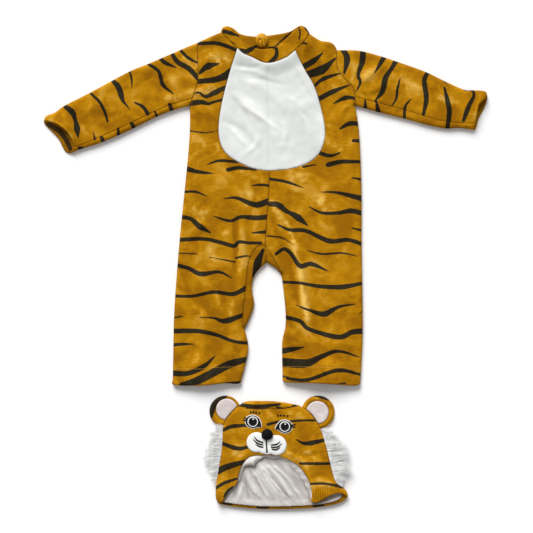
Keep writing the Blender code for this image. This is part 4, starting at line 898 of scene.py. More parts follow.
def makeWhitePlush(name, shaded, pale):
    material, tree, shader = startMaterial(name, 0.9, 0.06, 0.5, (1, 1, 1), 0.1)
    pile = pileNode(tree, 9, 260, 900)
    tone = combine(tree, "MULTIPLY_ADD", pile.outputs["Tone"], 0.4, attributeOf(tree, "nap"))
    tone = combine(tree, "ADD", tone, 0.35)
    colour = mixColour(tree, tone, (*shaded, 1), (*pale, 1))
    # The seams are painted darker, as shade.
    seam = combine(tree, "MULTIPLY", attributeOf(tree, "seam"), 0.3)
    colour = mixColour(tree, seam, colour, (0.42, 0.40, 0.36, 1))
    tree.links.new(colour, shader.inputs["Base Color"])
    addBump(tree, shader, pile.outputs["Tufts"], 0.0008, 0.5)
    return material


creaseTurn = 0.93  # the lining's creases run this far off level, in radians


def makeWhiteLining():
    material, tree, shader = startMaterial("whiteLining", 0.5, 0.1, 0.4, (1, 1, 1), 0.4)
    place = tree.nodes.new("ShaderNodeTexCoord").outputs["Object"]
    turned = addNode(tree, "ShaderNodeVectorRotate", {"Vector": place, "Angle": creaseTurn},
                     rotation_type="Z_AXIS").outputs[0]
    stretched = addNode(tree, "ShaderNodeMapping", {"Vector": turned, "Scale": (0.4, 1.5, 1.0)}).outputs[0]
    crumple = addNode(tree, "ShaderNodeTexNoise",
                      {"Vector": stretched, "Scale": 70.0, "Detail": 3.0, "Roughness": 0.55,
                       "Distortion": 0.5}).outputs[0]
    weave = addNode(tree, "ShaderNodeTexWave",
                    {"Vector": place, "Scale": 420.0, "Distortion": 1.0}).outputs[1]
    # The crumples' low places are painted darker, as shade, with the same noise that raises the bump.
    colour = mixColour(tree, crumple, (0.50, 0.475, 0.445, 1), (0.83, 0.81, 0.785, 1))
    shade = combine(tree, "MULTIPLY", attributeOf(tree, "shade"), 0.8)
    colour = mixColour(tree, shade, colour, (0.28, 0.24, 0.21, 1))
    tree.links.new(colour, shader.inputs["Base Color"])
    height = combine(tree, "ADD", crumple, combine(tree, "MULTIPLY", weave, 0.06))
    addBump(tree, shader, height, 0.0022, 0.8)
    return material


def makeThread(name, colour, roughness):
    material, tree, shader = startMaterial(name, roughness, 0.0, 0.4, (1, 1, 1), 0.15)
    place = tree.nodes.new("ShaderNodeTexCoord").outputs["Object"]
    strands = addNode(tree, "ShaderNodeTexWave",
                      {"Vector": place, "Scale": 700.0, "Distortion": 2.0}).outputs[1]
    # The raised strands are painted lighter, as a highlight, with the same waves that raise the bump.
    lighter = tuple(min(1, c * 1.2 + 0.004) for c in colour[:3]) + (1,)
    tree.links.new(mixColour(tree, strands, colour, lighter), shader.inputs["Base Color"])
    addBump(tree, shader, strands, 0.0003, 0.5)
    return material


def makeFur():
    material, tree, shader = startMaterial("whiteFur", 0.5, 0.1, 0.4, (1, 1, 1), 0.35)
    place = tree.nodes.new("ShaderNodeTexCoord").outputs["Object"]
    locks = addNode(tree, "ShaderNodeTexNoise", {"Vector": place, "Scale": 120.0, "Detail": 3.0}).outputs[0]
    lift = addNode(tree, "ShaderNodeMapRange",
                   {"Value": locks, "From Min": 0.35, "From Max": 0.62, "To Min": 0.0,
                    "To Max": 1.0}).outputs[0]
    colour = mixColour(tree, lift, (0.72, 0.73, 0.72, 1), (1.0, 1.0, 0.98, 1))
    tree.links.new(colour, shader.inputs["Base Color"])
    shader.inputs["Emission Color"].default_value = (1, 1, 1, 1)  # the fur glows faintly: painted light, to brighten it
    shader.inputs["Emission Strength"].default_value = 0.06
    return material


tigerPlush = makeTigerPlush()
whitePlush = makeWhitePlush("whitePlush", (0.61, 0.63, 0.61), (0.81, 0.82, 0.80))
earPlush = makeWhitePlush("earPlush", (0.60, 0.53, 0.51), (0.80, 0.75, 0.73))
whiteLining = makeWhiteLining()
whiteFur = makeFur()
blackThread = makeThread("blackThread", (0.004, 0.004, 0.004, 1), 0.7)
whiteThread = makeThread("whiteThread", (0.80, 0.80, 0.78, 1), 0.6)
goldThread = makeThread("goldThread", (0.62, 0.36, 0.06, 1), 0.55)
blackPlush = makeThread("blackPlush", (0.003, 0.003, 0.003, 1), 0.95)
print("materials ready")


# Jumpsuit.
steps = {"front": 2.3, "back": 4.0, "hat": 1.45, "edge": 2.6}
endsOnSide = {
    "leftArmhole": (1, 1), "rightArmhole": (1, 1), "leftNeck": (0, 1), "rightNeck": (0, 1),
    "leftHem": (1, 1), "rightHem": (1, 1), "leftCuffBack": (1, 1), "rightCuffBack": (1, 1),
    "leftCuffFront": (1, 0), "rightCuffFront": (1, 0), "crotch": (1, 0), "leftInseam": (0, 1),
    "rightInseam": (0, 1), "backNeck": (1, 1), "collarFrontEdge": (1, 1), "collarBackEdge": (1, 1),
    "backSeam": (0, 1), "crownSeam": (1, 1), "backHem": (1, 1), "leftFlapHem": (1, 0), "rightFlapHem": (0, 1),
}


def cutLines(curves):
    lines = {}
    for name, points in curves.items():
        start, end = endsOnSide.get(name, (0, 0))
        lines[name] = graded(smoothLine(points, 1.0), start, end, steps["edge"])
    return lines


def splitAt(lines, name, point):
    line = lines[name].copy()
    at = int(np.linalg.norm(line - point, axis=1).argmin())
    line[at] = point
    lines[name], lines[name + "A"], lines[name + "B"] = line, line[:at + 1], line[at:]


suitLines = cutLines(suitCurves)
for side in ("left", "right"):
    splitAt(suitLines, f"{side}Armhole", suitLines[f"{side}Underarm"][0])
splitAt(suitLines, "backNeck", suitLines["backSeam"][0])
neckLine = np.vstack([smoothLine(suitCurves["leftNeck"], 3.0)[::-1],
                      smoothLine(suitCurves["bibNeck"], 3.0)[1:],
                      smoothLine(suitCurves["rightNeck"], 3.0)[1:]])


def joined(lines, names):
    runs = [lines[n.lstrip("-")][::-1] if n.startswith("-") else lines[n] for n in names]
    return np.vstack([runs[0], *(run[1:] for run in runs[1:])])


suitSides = [joined(suitLines, names) for names in (
    ["leftSide"], ["leftCalf", "leftThighFold", "-rightThighFold", "-rightLegEdge"], ["-rightSide"],
    ["collarLeftEnd", "leftShoulder", "leftSleeveTop"], ["leftSleeveUnder"],
    ["-rightSleeveUnder"], ["-rightSleeveTop", "-rightShoulder", "-collarRightEnd"])]
suitMouths = [suitLines[n] for n in ("leftHem", "rightHem", "leftCuffBack", "rightCuffBack", "leftCuffFront",
                                     "rightCuffFront", "leftCuffStrip", "rightCuffStrip")]
collarEdges = [suitLines["collarFrontEdge"], suitLines["collarBackEdge"]]


def level(value):
    return lambda points: np.full(len(points), float(value))


def pileWall(mouthLines, seamEnds):
    def wall(points):
        far = clearance(points, mouthLines, cloth["hemDepth"] + 2)
        thick = cloth["pile"] + cloth["hemTurn"] * (1 - ease((far - cloth["hemDepth"] * 0.7)
                                                             / (cloth["hemDepth"] * 0.3)))
        near = np.min([np.linalg.norm(points - end, axis=1) for end in seamEnds], axis=0)
        thin = cloth["seamEndThin"]
        return thick * (thin + (1 - thin) * ease(near / cloth["seamEndReach"]))

    return wall


suitWall = pileWall(suitMouths, [suitLines["leftInseam"][-1], suitLines["rightInseam"][-1]])


def hemStitchLine(hem, depth, ends):
    # Where a turned hem is sewn down: the hem's line moved up the leg, between its sides.
    line = smoothLine([(x, y + depth) for x, y in hem], 2.0)
    return line[(line[:, 0] > ends[0]) & (line[:, 0] < ends[1])]


hemStitches = {
    "left": hemStitchLine([(-170, -204), (-120, -205), (-80, -202), (-30, -201)], 27, (-160, -41)),
    "right": hemStitchLine([(20, -201), (60, -201), (100, -202), (172, -204)], 27, (31, 164)),
}
suitGarment = dict(lines=suitLines, sides=suitSides, top=suitTop, middle=cloth["suitMiddle"],
                   step=steps["front"],
                   topstitched=list(hemStitches.values()), creases=suitCreases, floor=level(0.0))


def clothPatch(garment, parts, upper, charts, shift=None, inside=None, step=None, nap=0.0):
    # One panel's points and triangles, with the print, the pile's brushed tone with painted highlights and
    # shade, and the seams' pinch kept at each point.
    lines = garment["lines"]
    step = step or (garment["step"] if upper else steps["back"])
    points, faces = filledIn(lines, parts, step)
    if shift is None:
        shift = 0.08 if upper else -0.08
    seamNames = [name.lstrip("-") for name, kind in parts if kind == "seam"]
    seams = [lines[name] for name in seamNames if "Underarm" not in name]
    softSeams = [lines[name] for name in seamNames if "Underarm" in name]
    softSeams += garment["topstitched"] if upper else []
    middle = garment["middle"] + shift
    outer, out, pinch = wallPoints(points, garment["sides"], garment["top"], upper, middle, seams, softSeams,
                                   garment["floor"])
    values = {
        "stripe": stripeField(points, charts),
        "stripeInside": stripeField(points, inside) if inside else np.full(len(points), 4.0),
        "seam": pinch,
        "nap": nap + (napAndShadingOf(points, garment["creases"]) if upper else 0.2 * softNoise(points, 24, 8)),
    }
    if garment["top"] is hatTopHeight and upper:
        # The hat's front is made a little paler, and the ribs' grooves are painted darker, as shade.
        ribs = 0.5 - 0.5 * np.sin(points[:, 0] * 2 * math.pi / hatRibs["size"])
        values["nap"] += 0.1 - 0.55 * ribMask(points) * ribs
    return dict(points=outer, out=out, faces=faces, upper=upper, values=values)


# Places painted paler or darker, and how strongly: painted highlights on fold ridges and painted shade in
# valleys, with some of the pile's own brushed patches.
napAndShadingMarks = [
    # The right leg's long fold and the belly's fold, with painted highlights, and the left leg's valley, with
    # painted shade.
    dict(path=[(49, 31), (58, -3), (63, -45), (72, -92)], half=3.6, tone=0.85),
    dict(path=[(12, 112), (18, 100), (37, 75), (51, 39)], half=3.5, tone=0.9),
    dict(path=[(34, 18), (46, -20), (56, -64)], half=4, tone=-0.5),
    dict(path=[(-54, 78), (-53, 30), (-55, -6)], half=3, tone=-1.1),
    dict(path=[(-44, 70), (-42, 30), (-44, -10)], half=4, tone=-0.1),
    # Chest and shoulders.
    dict(path=[(-107, 377), (-90, 366), (-70, 360)], half=8, tone=0.9),
    dict(path=[(-121, 376), (-122, 362), (-120, 348)], half=3, tone=0.7),
    dict(path=[(-131, 308), (-106, 304), (-79, 310)], half=6, tone=0.8),
    dict(path=[(-122, 294), (-108, 290), (-93, 280)], half=5, tone=0.6),
    dict(path=[(-120, 268), (-100, 262), (-86, 266)], half=7, tone=-0.5),
    dict(path=[(-128, 228), (-106, 218), (-84, 208)], half=9, tone=0.7),
    dict(path=[(104, 223), (112, 214), (126, 206)], half=9, tone=0.6),
    dict(path=[(96, 262), (108, 250), (112, 238)], half=7, tone=0.5),
    dict(path=[(128, 346), (128, 330), (134, 322)], half=5, tone=0.6),
    # Belly and hips.
    dict(path=[(-70, 110), (0, 96), (70, 110)], half=38, tone=0.2),
    dict(path=[(10, 118), (24, 92), (44, 60)], half=12, tone=0.4),
    dict(path=[(-47, 167), (-28, 162), (-8, 153)], half=5, tone=0.8),
    dict(path=[(-139, 148), (-124, 154), (-111, 156)], half=8, tone=0.5),
    dict(path=[(-139, 103), (-120, 96), (-100, 95)], half=8, tone=0.7),
    dict(path=[(-30, 128), (-20, 126), (-11, 122)], half=6, tone=0.6),
    dict(path=[(-70, 60), (-62, 68), (-58, 74)], half=5, tone=0.6),
    dict(path=[(40, 167), (54, 162), (66, 156)], half=7, tone=0.5),
    dict(path=[(92, 117), (98, 110), (104, 104)], half=9, tone=0.5),
    dict(path=[(-100, 33), (-96, 24), (-91, 14)], half=5, tone=0.6),
    # Legs.
    dict(path=[(-88, -44), (-84, -58), (-80, -70)], half=4, tone=0.9),
    dict(path=[(-58, -58), (-60, -70), (-61, -82)], half=3.5, tone=0.8),
    dict(path=[(-111, -58), (-102, -72), (-91, -84)], half=5, tone=-0.6),
    dict(path=[(-36, -60), (-44, -80), (-46, -100)], half=4, tone=-0.4),
    dict(path=[(-150, -120), (-110, -130), (-60, -160)], half=34, tone=-0.22),
    dict(path=[(50, -150), (100, -150), (150, -150)], half=34, tone=-0.18),
    dict(path=[(-150, 40), (-140, 0), (-138, -40)], half=10, tone=-0.3),
    dict(path=[(140, 90), (150, 20), (148, -60)], half=12, tone=-0.25),
    # Sleeves.
    dict(path=[(-145, 366), (-136, 356), (-126, 347)], half=4, tone=0.8),
    dict(path=[(-172, 300), (-166, 296), (-160, 294)], half=5, tone=1.0),
    dict(path=[(-377, 257), (-354, 244), (-340, 226)], half=3, tone=0.8),
    dict(path=[(-300, 250), (-280, 256), (-262, 262)], half=6, tone=0.4),
    dict(path=[(-330, 250), (-322, 240), (-316, 232)], half=5, tone=0.5),
    dict(path=[(160, 346), (172, 334), (186, 326)], half=8, tone=0.35),
    dict(path=[(236, 328), (256, 318), (276, 308)], half=7, tone=0.6),
    dict(path=[(154, 300), (176, 298), (196, 296)], half=5, tone=0.5),
    dict(path=[(148, 352), (152, 338), (150, 324)], half=3, tone=0.6),
    dict(path=[(300, 300), (318, 290), (334, 286)], half=6, tone=0.6),
    dict(path=[(374, 300), (370, 286), (364, 262)], half=3, tone=0.7),
    # Hat.
    dict(path=[(-2, -246), (5, -254), (6, -264)], half=6, tone=0.5),
    dict(path=[(70, -322), (80, -330), (90, -331)], half=6, tone=0.7),
    dict(path=[(40, -326), (62, -338), (76, -360)], half=3.5, tone=0.4),
    dict(path=[(-66, -288), (-52, -284), (-44, -288)], half=6, tone=0.4),
    dict(path=[(-66, -330), (-52, -326), (-40, -324)], half=6, tone=0.4),
    dict(path=[(-58, -300), (-52, -316), (-50, -330)], half=12, tone=0.25),
    dict(path=[(44, -268), (58, -264), (70, -272)], half=7, tone=0.5),
    dict(path=[(90, -290), (84, -304), (64, -308)], half=7, tone=-0.5),
    dict(path=[(98, -372), (110, -376), (124, -386)], half=5, tone=0.4),
    dict(path=[(14, -246), (22, -258), (26, -268)], half=5, tone=-0.4),
]


def napAndShadingOf(points, creases):
    # Ridges are painted paler, as highlights, and troughs darker, as shade, over the pile's random patches;
    # the marks above add the strongest places.
    tone = 0.18 * softNoise(points, 30, 8) + 0.10 * softNoise(points, 9, 9)
    tone += np.clip(0.16 * creaseHeight(points, creases), -0.5, 0.5)
    ragged = 1 + 0.5 * softNoise(points, 5, 10)
    broken = 0.8 + 0.5 * softNoise(points, 6, 17)
    for mark in napAndShadingMarks:
        far = nearestTo(points, smoothLine(mark["path"], 4), mark["half"] * 2.5)[0] / mark["half"]
        tone += mark["tone"] * broken * np.exp(-((far * ragged) ** 2)) * ease((2.5 - far) / 0.9)
    return tone


suitPieces = {
    "front_left": dict(
        cut=(0.17, 0.62), area=0.0683, rests=["back_left"],
        patches=[dict(parts=[("bibLeft", "seam"), ("frontSeam", "seam"), ("leftInseam", "seam"),
                             ("-leftCalf", "round"), ("-leftHem", "open"), ("-leftSide", "round"),
                             ("-leftArmhole", "seam"), ("-leftShoulder", "round"), ("-leftNeck", "seam")],
                      upper=True, charts=[stripeChart["frontLeft"]])]),
    "front_right": dict(
        cut=(0.17, 0.62), area=0.0747, rests=["back_right"],
        patches=[dict(parts=[("bibRight", "seam"), ("frontSeam", "seam"), ("rightInseam", "seam"),
                             ("-rightLegEdge", "round"), ("-rightHem", "open"), ("-rightSide", "round"),
                             ("-rightArmhole", "seam"), ("-rightShoulder", "round"), ("-rightNeck", "seam")],
                      upper=True, charts=[stripeChart["frontRight"]])]),
    "bib": dict(
        cut=(0.187, 0.214), area=0.031, rests=["back_left", "back_right"], white=True,
        patches=[dict(parts=[("bibLeft", "seam"), ("-bibRight", "seam"), ("-bibNeck", "seam")],
                      upper=True, charts=[])]),
    "back_left": dict(
        cut=(0.18, 0.62), area=0.0906, rests=[],
        patches=[dict(parts=[("backNeckA", "seam"), ("backSeam", "seam"), ("-leftThighFold", "round"),
                             ("-leftCalf", "round"), ("-leftHem", "open"), ("-leftSide", "round"),
                             ("-leftArmhole", "seam"), ("-leftShoulder", "round")],
                      upper=False, charts=[turnedOver(stripeChart["frontRight"], (4, 9)),
                                           stripeChart["backChest"]]),
                 dict(parts=[("crotch", "seam"), ("leftInseam", "seam"), ("leftThighFold", "round")],
                      upper=True, charts=[stripeChart["crotchFold"]], shift=-0.08, nap=-0.4)]),
    "back_right": dict(
        cut=(0.18, 0.62), area=0.0927, rests=[],
        patches=[dict(parts=[("-backNeckB", "seam"), ("backSeam", "seam"), ("-rightThighFold", "round"),
                             ("-rightLegEdge", "round"), ("-rightHem", "open"), ("-rightSide", "round"),
                             ("-rightArmhole", "seam"), ("-rightShoulder", "round")],
                      upper=False, charts=[turnedOver(stripeChart["frontLeft"], (2, 7)),
                                           stripeChart["backChest"]]),
                 dict(parts=[("crotch", "seam"), ("rightInseam", "seam"), ("rightThighFold", "round")],
                      upper=True, charts=[stripeChart["crotchFold"]], shift=-0.08, nap=-0.4)]),
    "left_sleeve": dict(
        cut=(0.19, 0.27), area=0.0466, rests=[],
        patches=[dict(parts=[("leftArmholeA", "seam"), ("leftUnderarm", "seam"), ("-leftCuffFront", "open"),
                             ("-leftSleeveTop", "round")],
                      upper=True, charts=[stripeChart["leftSleeve"]], shift=0.0),
                 dict(parts=[("leftArmholeB", "seam"), ("-leftSleeveUnder", "round"),
                             ("-leftCuffStrip", "open"), ("-leftUnderarm", "seam")],
                      upper=True, charts=[stripeChart["leftSleeve"]], shift=0.0),
                 dict(parts=[("leftArmhole", "seam"), ("-leftSleeveUnder", "round"),
                             ("-leftCuffBack", "open"),
                             ("-leftSleeveTop", "round")], upper=False, shift=0.0, step=3.0,
                      charts=[turnedOver(stripeChart["rightSleeve"], (-4, 26))],
                      inside=[stripeChart["leftCuffInside"]])]),
    "right_sleeve": dict(
        cut=(0.19, 0.265), area=0.0433, rests=[],
        patches=[dict(parts=[("rightArmholeA", "seam"), ("rightUnderarm", "seam"),
                             ("-rightCuffFront", "open"), ("-rightSleeveTop", "round")],
                      upper=True, charts=[stripeChart["rightSleeve"]], shift=0.0),
                 dict(parts=[("rightArmholeB", "seam"), ("-rightSleeveUnder", "round"),
                             ("-rightCuffStrip", "open"), ("-rightUnderarm", "seam")],
                      upper=True, charts=[stripeChart["rightSleeve"]], shift=0.0),
                 dict(parts=[("rightArmhole", "seam"), ("-rightSleeveUnder", "round"),
                             ("-rightCuffBack", "open"),
                             ("-rightSleeveTop", "round")], upper=False, shift=0.0, step=3.0,
                      charts=[turnedOver(stripeChart["leftSleeve"], (6, -18))])]),
    "collar": dict(
        cut=(0.31, 0.034), area=0.0078, rests=[], collar=True,
        patches=[dict(parts=[("-leftNeck", "seam"), ("bibNeck", "seam"), ("rightNeck", "seam"),
                             ("-collarRightEnd", "round"), ("-collarFrontEdge", "open"),
                             ("collarLeftEnd", "round")],
                      upper=True, charts=[stripeChart["collar"]], shift=0.0),
                 dict(parts=[("backNeckA", "seam"), ("backNeckB", "seam"), ("-collarRightEnd", "round"),
                             ("-collarBackEdge", "open"), ("collarLeftEnd", "round")],
                      upper=False, charts=[], inside=[stripeChart["collar"]], shift=0.0, step=3.0)]),
}


def buildSuit():
    for node, info in suitPieces.items():
        patches = [clothPatch(suitGarment, **patch) for patch in info["patches"]]
        isCollar = info.get("collar", False)
        wallOf = level(cloth["collarWall"]) if isCollar else suitWall
        material = whitePlush if info.get("white") else tigerPlush
        openLines, paintedShade = (collarEdges, 0.1) if isCollar else (suitMouths, 1.0)
        piece = clothPiece(node + "_cloth", patches, wallOf, openLines, [material], paintedShade)
        finishPiece(piece, [node])
        print(node, len(piece.data.polygons), "faces")


def finishPiece(piece, nodes):
    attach(piece, "root")
    if nodes:
        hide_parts(*nodes)


buildSuit()
print("jumpsuit ready")


# Hat.
hatLines = cutLines(hatCurves)
hatSide = joined(hatLines, ["leftSide", "crown", "rightSide"])[::-1]
hatEdge = joined(hatLines, ["leftSide", "crown", "rightSide", "backHem"])[:-1]
hatEdge = evenly(np.vstack([hatEdge, hatEdge[:1]]), 1.0)[:-1]
hatEdge = hatEdge if areaOf(hatEdge) > 0 else hatEdge[::-1]
hatWall = pileWall([], [hatLines["crownSeam"][0], hatLines["crownSeam"][-1]])
hatGarment = dict(lines=hatLines, sides=[hatSide], top=hatTopHeight, middle=cloth["hatMiddle"],
                  step=steps["hat"],
                  topstitched=[], creases=hatCreases, floor=hemLift)
hatPieces = {
    "hat_back": dict(
        cut=(0.232, 0.19), area=0.0378, rests=[],
        patches=[dict(parts=[("leftSide", "round"), ("crown", "round"), ("rightSide", "round"),
                             ("backHem", "open")], upper=False, charts=[stripeChart["hatBack"]], step=3.4,
                      inside=[stripeChart["hatHem"]]),
                 dict(parts=[("crown", "round"), ("-crownSeam", "seam")], upper=True, shift=-0.08,
                      charts=[stripeChart["hatBack"]])]),
    "hat_front": dict(
        cut=(0.232, 0.185), area=0.0259, rests=["hat_back", "hat_lining"],
        patches=[dict(parts=[("leftSide", "round"), ("crownSeam", "seam"), ("rightSide", "round"),
                             ("-rightFlapHem", "open"), ("-arch", "open"), ("-leftFlapHem", "open")],
                      upper=True, charts=[stripeChart["hat"]])]),
}


def buildHatCloth():
    for node, info in hatPieces.items():
        patches = [clothPatch(hatGarment, **patch) for patch in info["patches"]]
        openLines = [hatLines[n] for n in ("arch", "leftFlapHem", "rightFlapHem", "backHem")]
        piece = clothPiece(node + "_cloth", patches, hatWall, openLines, [tigerPlush])
        finishPiece(piece, [node])


def insetOf(edge, distance):
    # A closed outline drawn in by a distance, without the points that would cross over.
    way = np.roll(edge, -1, axis=0) - np.roll(edge, 1, axis=0)
    inward = np.stack([-way[:, 1], way[:, 0]], axis=1) / np.linalg.norm(way, axis=1)[:, None]
    moved = edge + inward * distance
    closed = np.vstack([edge, edge[:1]])
    return moved[insideOf(moved, edge) & (nearestTo(moved, closed, distance + 2)[0] > distance * 0.96)]


def layerMesh(edge, step, bottom, top, rings=()):
    # A closed slab over an outline, between two heights. Rings follow the outline where its rim is round.
    edge = edge if areaOf(edge) > 0 else edge[::-1]
    closed = np.vstack([edge, edge[:1]])
    inner = [insetOf(edge, ring) for ring in rings]
    keep = (rings[-1] if rings else 0) + step * 0.5
    low, high = edge.min(0), edge.max(0)
    j, i = np.mgrid[0:int((high[1] - low[1]) / (step * 0.866)) + 2, 0:int((high[0] - low[0]) / step) + 2]
    grid = np.stack([low[0] + (i + 0.5 * (j % 2)) * step, low[1] + j * step * 0.866], axis=-1).reshape(-1, 2)
    grid = grid[insideOf(grid, edge)]
    grid = grid[nearestTo(grid, closed, keep + 1)[0] > keep]
    every = np.vstack([edge, *inner, grid])
    count = len(edge)
    edges = [(k, (k + 1) % count) for k in range(count)]
    made = delaunay_2d_cdt([Vector(point) for point in every], edges, [], 1, 1e-4)
    flat = np.array([tuple(v) for v in made[0]])
    faces = [tuple(face) for face in made[2]]
    size = len(flat)
    points = np.vstack([np.column_stack([flat, top(flat)]), np.column_stack([flat, bottom(flat)])])
    sides = [(a + size, b + size, b, a) for a, b in rimOf(faces)]
    return points, faces + [tuple(k + size for k in face[::-1]) for face in faces] + sides


def domed(edge, base, thickness, roundIn, atEdge=0.2):
    # A height that rises from a closed outline like a pad's.
    closed = np.vstack([edge, edge[:1]])

    def height(points):
        share = np.clip(nearestTo(points, closed, roundIn + 1)[0] / roundIn, 0, 1)
        dome = np.sqrt(np.maximum(1 - (1 - share) ** 2, 0))
        return base(points) + thickness * (atEdge + (1 - atEdge) * dome)

    return height


def joinMeshes(name, parts, materials, attributes=()):
    # One piece from several meshes, each with its own material.
    points, faces, indices, count = [], [], [], 0
    for part in parts:
        points.append(part[0])
        faces += [tuple(k + count for k in face) for face in part[1]]
        indices += [part[2]] * len(part[1])
        count += len(part[0])
    values = {}
    for key in attributes:
        values[key] = np.concatenate([part[3].get(key, np.zeros(len(part[0]))) for part in parts])
    return makeObject(name, np.vstack(points), faces, materials, values, indices)


liningLook = {"inset": 8.0, "lower": 4.0, "thick": 1.0, "clear": 0.3, "ribs": 0.6, "ribSize": 3.0,
              "ribBand": 11.0}
liningTurn = {"under": 4.0, "width": 4.6, "wave": 1.3, "flap": 14.0, "flapAt": 0.255, "flapSize": 0.085,
              "second": 7.0, "secondAt": 0.74, "secondSize": 0.13}


def ribWave(points):
    return np.sin(points[:, 0] * 2 * math.pi / liningLook["ribSize"])


def hemGather(points, band):
    # How strongly the lining is gathered, from 1 at its lower hem to 0 a band above it.
    hem = liningLook["inset"] - liningLook["lower"]
    far = nearestTo(points, hatLines["backHem"], 40)[0] - hem
    return 1 - ease(far / band)


def alongCreases(points, share):
    # The plane turned so that the lining's creases run across it, and shortened along them.
    c, s = math.cos(creaseTurn), math.sin(creaseTurn)
    x, y = points[:, 0], points[:, 1]
    return np.column_stack([share * (x * c - y * s), x * s + y * c])


def liningFloor(points):
    # The lining on the hat's back: loose creases, gathered in fine ribs along its lower hem.
    height = cloth["pile"] + liningLook["clear"] + np.maximum(creaseHeight(points, liningCreases), -0.1)
    height += hemLift(points)
    height += 0.4 * (1 + softNoise(alongCreases(points, 0.3), 7, 12))
    height += 0.22 * (1 + softNoise(alongCreases(points, 0.3), 3, 13))
    gather = hemGather(points, liningLook["ribBand"] * (1 + 0.5 * softNoise(points, 7, 14)))
    return height + liningLook["ribs"] * gather * (1 + ribWave(points))


def liningStrip():
    # The face opening's line, the way into the opening, the place along it, and the turned lining's width.
    arch = evenly(hatLines["arch"], 1.2)
    way = np.gradient(arch, axis=0)
    inward = np.stack([way[:, 1], -way[:, 0]], axis=1) / np.linalg.norm(way, axis=1)[:, None]
    share = np.linspace(0, 1, len(arch))
    look = liningTurn
    flap = np.exp(-(((share - look["flapAt"]) / look["flapSize"]) ** 2))
    second = np.exp(-(((share - look["secondAt"]) / look["secondSize"]) ** 2))
    width = look["width"] + look["wave"] * np.sin(share * 31) + 0.9 * np.sin(share * 57 + 1)
    width = width * ease(share / 0.04) * ease((1 - share) / 0.04)
    width = width + look["flap"] * flap + look["second"] * second
    return arch, inward, share, flap, width + 0.6


def buildLining():
    outline = evenly(insetOf(hatEdge, liningLook["inset"]), 2.0)
    outline[:, 1] -= liningLook["lower"] * ease((-394 - outline[:, 1]) / 14)
    mesh = layerMesh(outline, 1.25, liningFloor, lambda points: liningFloor(points) + liningLook["thick"])
    flat = mesh[0][:, :2]
    shade = 0.5 - 0.3 * creaseHeight(flat, liningCreases) - 0.3 * softNoise(alongCreases(flat, 0.3), 9, 15)
    ribs = hemGather(flat, liningLook["ribBand"]) * (0.5 - 0.5 * ribWave(flat))
    arch, inward, _, _, width = liningStrip()
    border = nearestTo(flat, arch + inward * width[:, None], 14)[0]
    under = nearestTo(flat, hatLines["rightFlapHem"], 20)[0]
    shade += 0.8 * ribs + 0.75 * np.exp(-((border / 2.6) ** 2)) + 0.5 * np.exp(-((under / 7) ** 2))
    piece = makeObject("hat_lining_cloth", *mesh, [whiteLining], {"shade": np.clip(shade, 0, 1.3)})
    finishPiece(piece, ["hat_lining"])


def buildLiningEdge():
    # The front's own lining, which peeps out along the face opening and is turned out in one place.
    arch, inward, share, flap, width = liningStrip()
    rows = np.linspace(-1, 1, 17)
    points, shades = [], []
    for row in rows:
        out = max(row, 0.0)
        reach = width * row if row > 0 else np.full(len(arch), liningTurn["under"] * row)
        sunk = 7.4 - 0.6 * ease(row / 0.2) - 2.6 * out**2
        raised = flap * (6.4 * math.sin(out * math.pi * 0.85) + 1.6 * out)
        pucker = 0.5 * out * np.sin(share * 84 + 4 * row)
        points.append(np.column_stack([arch + inward * reach[:, None], sunk + raised + pucker]))
        shades.append(0.05 + 0.5 * max(-row, 0) + (0.25 + 0.2 * np.sin(share * 84 + 4 * row)) * (1 - flap))
    grid = np.array(points)
    count, across = grid.shape[:2]
    lifted = grid + np.array([0, 0, liningLook["thick"]])
    every = np.vstack([lifted.reshape(-1, 3), grid.reshape(-1, 3)])
    half = count * across
    cell = [(r * across + c, r * across + c + 1, (r + 1) * across + c + 1, (r + 1) * across + c)
            for r in range(count - 1) for c in range(across - 1)]
    up = np.cross(grid[1, 1] - grid[0, 1], grid[0, 2] - grid[0, 1])[2] < 0
    top = cell if up else [face[::-1] for face in cell]
    under = [tuple(k + half for k in face[::-1]) for face in top]
    sides = [(a + half, b + half, b, a) for a, b in rimOf(top)]
    shade = np.tile(np.concatenate(shades), 2)
    piece = makeObject("lining_edge_cloth", every, top + under + sides, [whiteLining], {"shade": shade})
    finishPiece(piece, ["lining_edge"])


earLook = {"thick": 8.6, "seat": 0.35, "pucker": 0.35}
ears = {
    "left_ear": dict(centre=(-71.5, -252.5), radius=27.5, inner=(-68.6, -248.6), innerRadius=18.8,
                     chart="leftEar"),
    "right_ear": dict(centre=(91.0, -254.0), radius=29.0, inner=(89.8, -254.0), innerRadius=20.0,
                      chart="rightEar"),
}


def circleOf(centre, radius, count=220):
    angle = np.linspace(0, 2 * math.pi, count, endpoint=False)
    return np.column_stack([centre[0] + radius * np.cos(angle), centre[1] + radius * np.sin(angle)])


def outsideHat(circle, clear):
    # The part of a circle beside the hat: its own arc, and its base along the hat's side.
    outside = ~insideOf(circle, hatEdge)
    outside &= nearestTo(circle, np.vstack([hatEdge, hatEdge[:1]]), clear + 3)[0] > clear
    start = int(np.flatnonzero(outside & ~np.roll(outside, 1))[0])
    arc = np.roll(circle, -start, axis=0)[np.roll(outside, -start)]
    way = np.roll(hatEdge, -1, axis=0) - np.roll(hatEdge, 1, axis=0)
    outward = np.stack([way[:, 1], -way[:, 0]], axis=1) / np.linalg.norm(way, axis=1)[:, None]
    pushed = hatEdge + outward * clear
    within = insideOf(pushed, circle)
    first = int(np.flatnonzero(within & ~np.roll(within, 1))[0])
    base = np.roll(pushed, -first, axis=0)[np.roll(within, -first)]
    if np.linalg.norm(arc[-1] - base[0]) > np.linalg.norm(arc[-1] - base[-1]):
        base = base[::-1]
    return arc, base


